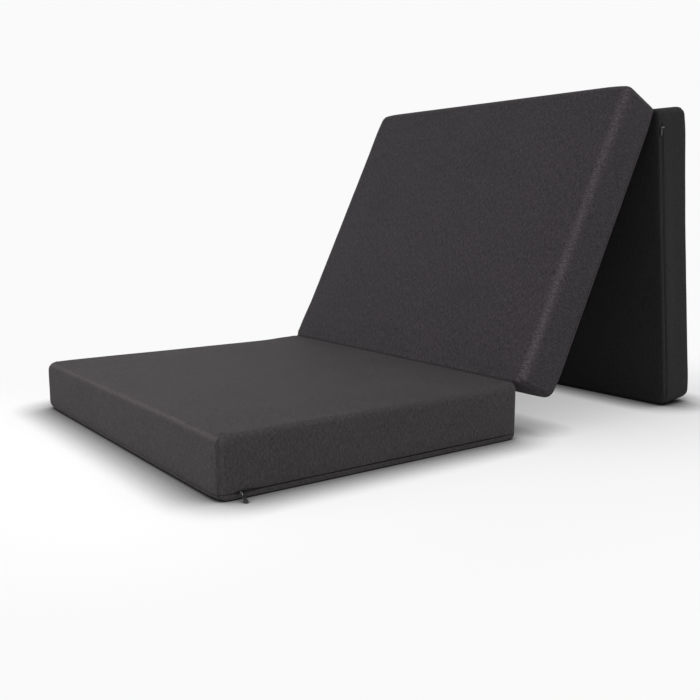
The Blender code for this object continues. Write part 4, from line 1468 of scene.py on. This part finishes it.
class MATTRESS_OT_sliders(MattressOperator, bpy.types.Operator):
    """Make the slider, ring and pull tab of each zip"""

    bl_idname = "mattress.sliders"
    bl_label = "Zip sliders"

    def execute(self, context):
        for panel in PANELS:
            names = {part: f"{panel.name}_zip_{part}" for part in ("slider", "ring", "tab")}
            matrix = panel.zip_matrix()
            low, high = local_box(names["slider"], matrix)
            place = matrix @ Matrix.Translation((0, (low.y + high.y) / 2, 0))
            self.piece(names["slider"], self.slider(low, high), place, panel.name + "_slider")
            joints = panel.name + "_ring_swing", panel.name + "_tab_swing"
            to_ring, to_tab, reach = swing_matrices(*joints, names["tab"])
            self.piece(names["ring"], self.ring(reach), to_ring, panel.name + "_ring", "bare_nickel")
            self.piece(names["tab"], self.tab(), to_tab, panel.name + "_tab")
        return {"FINISHED"}

    def piece(self, node, mesh, matrix, body, finish="black_lacquer"):
        thing = add_object(node + "_metal", mesh)
        mesh.transform(matrix)
        hand_over(thing, body, finish_named(finish), [node])

    def slider(self, low, high):
        """Waisted plate with two lips round the chain, and an arched bail."""
        half, wide = (high.y - low.y) / 2, high.z
        waist, waist_place = wide * 0.82, half * 0.1
        nose, heel = 2 * MM, 1.6 * MM
        outline = arc_points((half - nose, wide - nose), nose, 0, 90, 4)
        outline += [(waist_place, waist)]
        outline += arc_points((heel - half, waist - heel), heel, 90, 180, 4)
        outline += arc_points((heel - half, heel - waist), heel, 180, 270, 4)
        outline += [(waist_place, -waist)]
        outline += arc_points((half - nose, nose - wide), nose, 270, 360, 4)
        plate_front, plate_back = -2.2 * MM, -3.3 * MM
        plate = rounded_plate("plate", [outline], plate_front - plate_back, 0.25 * MM)
        middle = (plate_front + plate_back) / 2
        plate.transform(Matrix(((0, 0, 1, middle), (1, 0, 0, 0), (0, 1, 0, 0), (0, 0, 0, 1))))
        parts = [plate]
        channel, lip_inset, overlap = 2.8 * MM, 1.4 * MM, 0.1 * MM
        for side in (-1, 1):
            foot, head = sorted((channel * side, wide * side))
            profile = rounded_bar((low.x, foot), (plate_back + overlap, head), 0.2 * MM)
            parts.append(sweep("lip", profile, lip_inset - half, half - lip_inset, 1))
        foot, crest, span, bend = -2.75 * MM, 3.0 * MM, 3.1 * MM, 1.6 * MM
        path = [(foot, -span), (crest - bend, -span)]
        path += arc_points((crest - bend, bend - span), bend, 270, 360, 5)[1:]
        path += arc_points((crest - bend, span - bend), bend, 0, 90, 5)
        path += [(foot, span)]
        parts.append(tube("bail", path, 0.6 * MM, False))
        return merge("slider", parts)

    def ring(self, reach):
        """Wire ring: two half turns joined by straight runs."""
        radius, wire = 1.5 * MM, 0.5 * MM
        path = arc_points((0, 0), radius, 90, 270, 12) + arc_points((reach - radius, 0), radius, -90, 90, 12)
        return merge("ring", [tube("ring", path, wire, True)])

    def tab(self):
        """Flat pull with a round eye, a raised rim and three grip bars."""
        reach, half, eye, hole = 16 * MM, 3 * MM, 2.2 * MM, 1 * MM
        shoulder, corner, rim_width = 1 * MM, 2 * MM, 0.9 * MM
        first_bar, bar_pitch, bar_half, bar_inset = reach * 0.6, 1.5 * MM, 0.3 * MM, 1.3 * MM
        start = eye + half
        outline = arc_points((0, 0), eye, 45, 315, 18)
        outline += arc_points((start, shoulder - half), shoulder, 210, 270, 3)
        outline += arc_points((reach - corner, corner - half), corner, -90, 0, 6)
        outline += arc_points((reach - corner, half - corner), corner, 0, 90, 6)
        outline += arc_points((start, half - shoulder), shoulder, 90, 150, 3)
        blade = [outline, arc_points((0, 0), hole, 0, 345, 23)]
        rim = [
            rounded_window(start, reach, half, corner),
            rounded_window(start + rim_width, reach - rim_width, half - rim_width, 1.2 * MM),
        ]
        parts = [rounded_plate("blade", blade, 0.7 * MM, 0.12 * MM)]
        parts.append(rounded_plate("rim", rim, 1 * MM, 0.1 * MM))
        for number in range(3):
            middle = first_bar + number * bar_pitch
            bar = rounded_window(middle - bar_half, middle + bar_half, half - bar_inset, 0.25 * MM)
            parts.append(rounded_plate("bar", [bar], 0.95 * MM, 0.1 * MM))
        return merge("tab", parts)


def rounded_window(near, far, half, radius):
    """Outline of a rounded rectangle between two places on X."""
    outline = arc_points((far - radius, half - radius), radius, 0, 90, 4)
    outline += arc_points((near + radius, half - radius), radius, 90, 180, 4)
    outline += arc_points((near + radius, radius - half), radius, 180, 270, 4)
    return outline + arc_points((far - radius, radius - half), radius, 270, 360, 4)


class MATTRESS_OT_studio(MattressOperator, bpy.types.Operator):
    """Set the floor, the lights and the camera"""

    bl_idname = "mattress.studio"
    bl_label = "Studio"

    def execute(self, context):
        look = context.scene.mattress_studio
        self.floor()
        self.sky(context, look)
        self.lamp("key", look.key)
        self.camera(context, look)
        context.scene.view_settings.view_transform = "Standard"
        return {"FINISHED"}

    def floor(self):
        """Wide pale floor that fades to white far from the mattress."""
        mesh = bpy.data.meshes.new("floor")
        made = bmesh.new()
        bmesh.ops.create_grid(made, x_segments=1, y_segments=1, size=40)
        bmesh.ops.translate(made, vec=(0, 0, -0.2 * MM), verts=made.verts)
        made.to_mesh(mesh)
        made.free()
        thing = add_object("studio_floor", mesh)
        mesh.materials.append(self.floor_material())

    def floor_material(self):
        """Bright floor with a shadow where the mattress is close, and a plain grey for bounced light."""
        contact, contact_power = 90 * MM, 2.4
        lit_grey, glow_grey, bounced_grey = (opaque((share,) * 3) for share in (0.52, 0.38, 0.8))
        fade_start, fade_end = 50 * MM, 600 * MM
        material, tree, shader = new_material("pale_floor")
        tree.nodes.remove(shader)
        near = add_node(tree, "ShaderNodeAmbientOcclusion", {"Distance": contact}, samples=8).outputs["AO"]
        deep = maths(tree, "POWER", near, contact_power)
        colour = mix_colour(tree, deep, (0, 0, 0, 1), lit_grey)
        lit = add_node(tree, "ShaderNodeBsdfDiffuse", {"Color": colour}).outputs[0]
        glow = add_node(tree, "ShaderNodeEmission", {"Color": glow_grey, "Strength": deep}).outputs[0]
        seen = add_node(tree, "ShaderNodeAddShader", {0: lit, 1: glow}).outputs[0]
        bounced = add_node(tree, "ShaderNodeBsdfDiffuse", {"Color": bounced_grey}).outputs[0]
        white = add_node(tree, "ShaderNodeEmission", {"Color": WHITE, "Strength": 1.0}).outputs[0]
        limits = {"Value": self.distance(tree), "From Min": fade_start, "From Max": fade_end}
        fade = add_node(tree, "ShaderNodeMapRange", limits, interpolation_type="SMOOTHSTEP").outputs[0]
        shown = add_node(tree, "ShaderNodeMixShader", {0: fade, 1: seen, 2: white}).outputs[0]
        inputs = {0: self.in_view(tree), 1: bounced, 2: shown}
        mixed = add_node(tree, "ShaderNodeMixShader", inputs).outputs[0]
        tree.links.new(mixed, tree.nodes["Material Output"].inputs["Surface"])
        return material

    def distance(self, tree):
        """Distance on the floor from the solids' box."""
        low, high = (Vector(corner) for corner in SOLID_BOX)
        middle = ((low.x + high.x) / 2, (low.y + high.y) / 2, 0)
        half = ((high.x - low.x) / 2, (high.y - low.y) / 2, 1)
        place = add_node(tree, "ShaderNodeTexCoord").outputs["Object"]
        past = vector_maths(tree, "SUBTRACT", place, middle)[0]
        past = vector_maths(tree, "ABSOLUTE", past)[0]
        past = vector_maths(tree, "SUBTRACT", past, half)[0]
        past = vector_maths(tree, "MAXIMUM", past, (0, 0, 0))[0]
        return vector_maths(tree, "LENGTH", past)["Value"]

    def in_view(self, tree):
        """1 on rays that show the background: from the camera, in metal and through glass."""
        paths = add_node(tree, "ShaderNodeLightPath").outputs
        reflected = maths(tree, "MAXIMUM", paths["Is Glossy Ray"], paths["Is Transmission Ray"])
        return maths(tree, "MAXIMUM", paths["Is Camera Ray"], reflected)

    def sky(self, context, look):
        """Even light from all round, white where the camera sees it."""
        world = bpy.data.worlds.new("studio_sky")
        world.use_nodes = True
        context.scene.world = world
        tree = world.node_tree
        ground = tree.nodes["Background"]
        ground.inputs["Color"].default_value = (1, 1, 1, 1)
        ground.inputs["Strength"].default_value = look.sky
        white = add_node(tree, "ShaderNodeBackground", {"Color": WHITE, "Strength": 1.0}).outputs[0]
        inputs = {0: self.in_view(tree), 1: ground.outputs[0], 2: white}
        mixed = add_node(tree, "ShaderNodeMixShader", inputs).outputs[0]
        tree.links.new(mixed, tree.nodes["World Output"].inputs["Surface"])

    def lamp(self, name, power):
        """Soft square lamp above and in front of the mattress, narrowed to a cone."""
        place, target = Vector((0, -1.2, 1.5)), Vector((0, -0.25, 0.05))
        data = bpy.data.lights.new(name, "AREA")
        data.energy = power
        data.size = 0.9
        data.spread = math.radians(70)
        thing = add_object(name, data)
        thing.location = place
        thing.rotation_euler = (target - place).to_track_quat("-Z", "Y").to_euler()

    def camera(self, context, look):
        data = bpy.data.cameras.new("camera")
        data.lens = look.lens
        data.sensor_width = 36
        data.clip_start = 0.01
        thing = add_object("camera", data)
        thing.location = look.place
        level = math.cos(look.pitch)
        forward = Vector((-math.sin(look.yaw) * level, math.cos(look.yaw) * level, -math.sin(look.pitch)))
        thing.rotation_euler = forward.to_track_quat("-Z", "Y").to_euler()
        context.scene.camera = thing


class MATTRESS_PT_panel(bpy.types.Panel):
    """Lists the steps that dress the mattress."""

    bl_idname = "MATTRESS_PT_panel"
    bl_label = "Folding Mattress"
    bl_space_type = "VIEW_3D"
    bl_region_type = "UI"
    bl_category = "Mattress"

    def draw(self, context):
        for operator in OPERATORS:
            self.layout.operator(operator.bl_idname)


GROUPS = {
    "mattress_case": MATTRESS_PG_case,
    "mattress_zip": MATTRESS_PG_zip,
    "mattress_colours": MATTRESS_PG_colours,
    "mattress_studio": MATTRESS_PG_studio,
}
OPERATORS = (
    MATTRESS_OT_finishes,
    MATTRESS_OT_cases,
    MATTRESS_OT_foams,
    MATTRESS_OT_zips,
    MATTRESS_OT_sliders,
    MATTRESS_OT_stitches,
    MATTRESS_OT_bindings,
    MATTRESS_OT_studio,
)


def register():
    for group in GROUPS.values():
        bpy.utils.register_class(group)
    for name, group in GROUPS.items():
        setattr(bpy.types.Scene, name, PointerProperty(type=group))
    for operator in OPERATORS:
        bpy.utils.register_class(operator)
    bpy.utils.register_class(MATTRESS_PT_panel)


def unregister():
    bpy.utils.unregister_class(MATTRESS_PT_panel)
    for operator in reversed(OPERATORS):
        bpy.utils.unregister_class(operator)
    for name in GROUPS:
        delattr(bpy.types.Scene, name)
    for group in reversed(tuple(GROUPS.values())):
        bpy.utils.unregister_class(group)


def main():
    register()
    bpy.ops.mattress.finishes()
    bpy.ops.mattress.cases()
    bpy.ops.mattress.foams()
    bpy.ops.mattress.zips()
    bpy.ops.mattress.sliders()
    bpy.ops.mattress.stitches()
    bpy.ops.mattress.bindings()
    bpy.ops.mattress.studio()


if __name__ == "__main__":
    main()
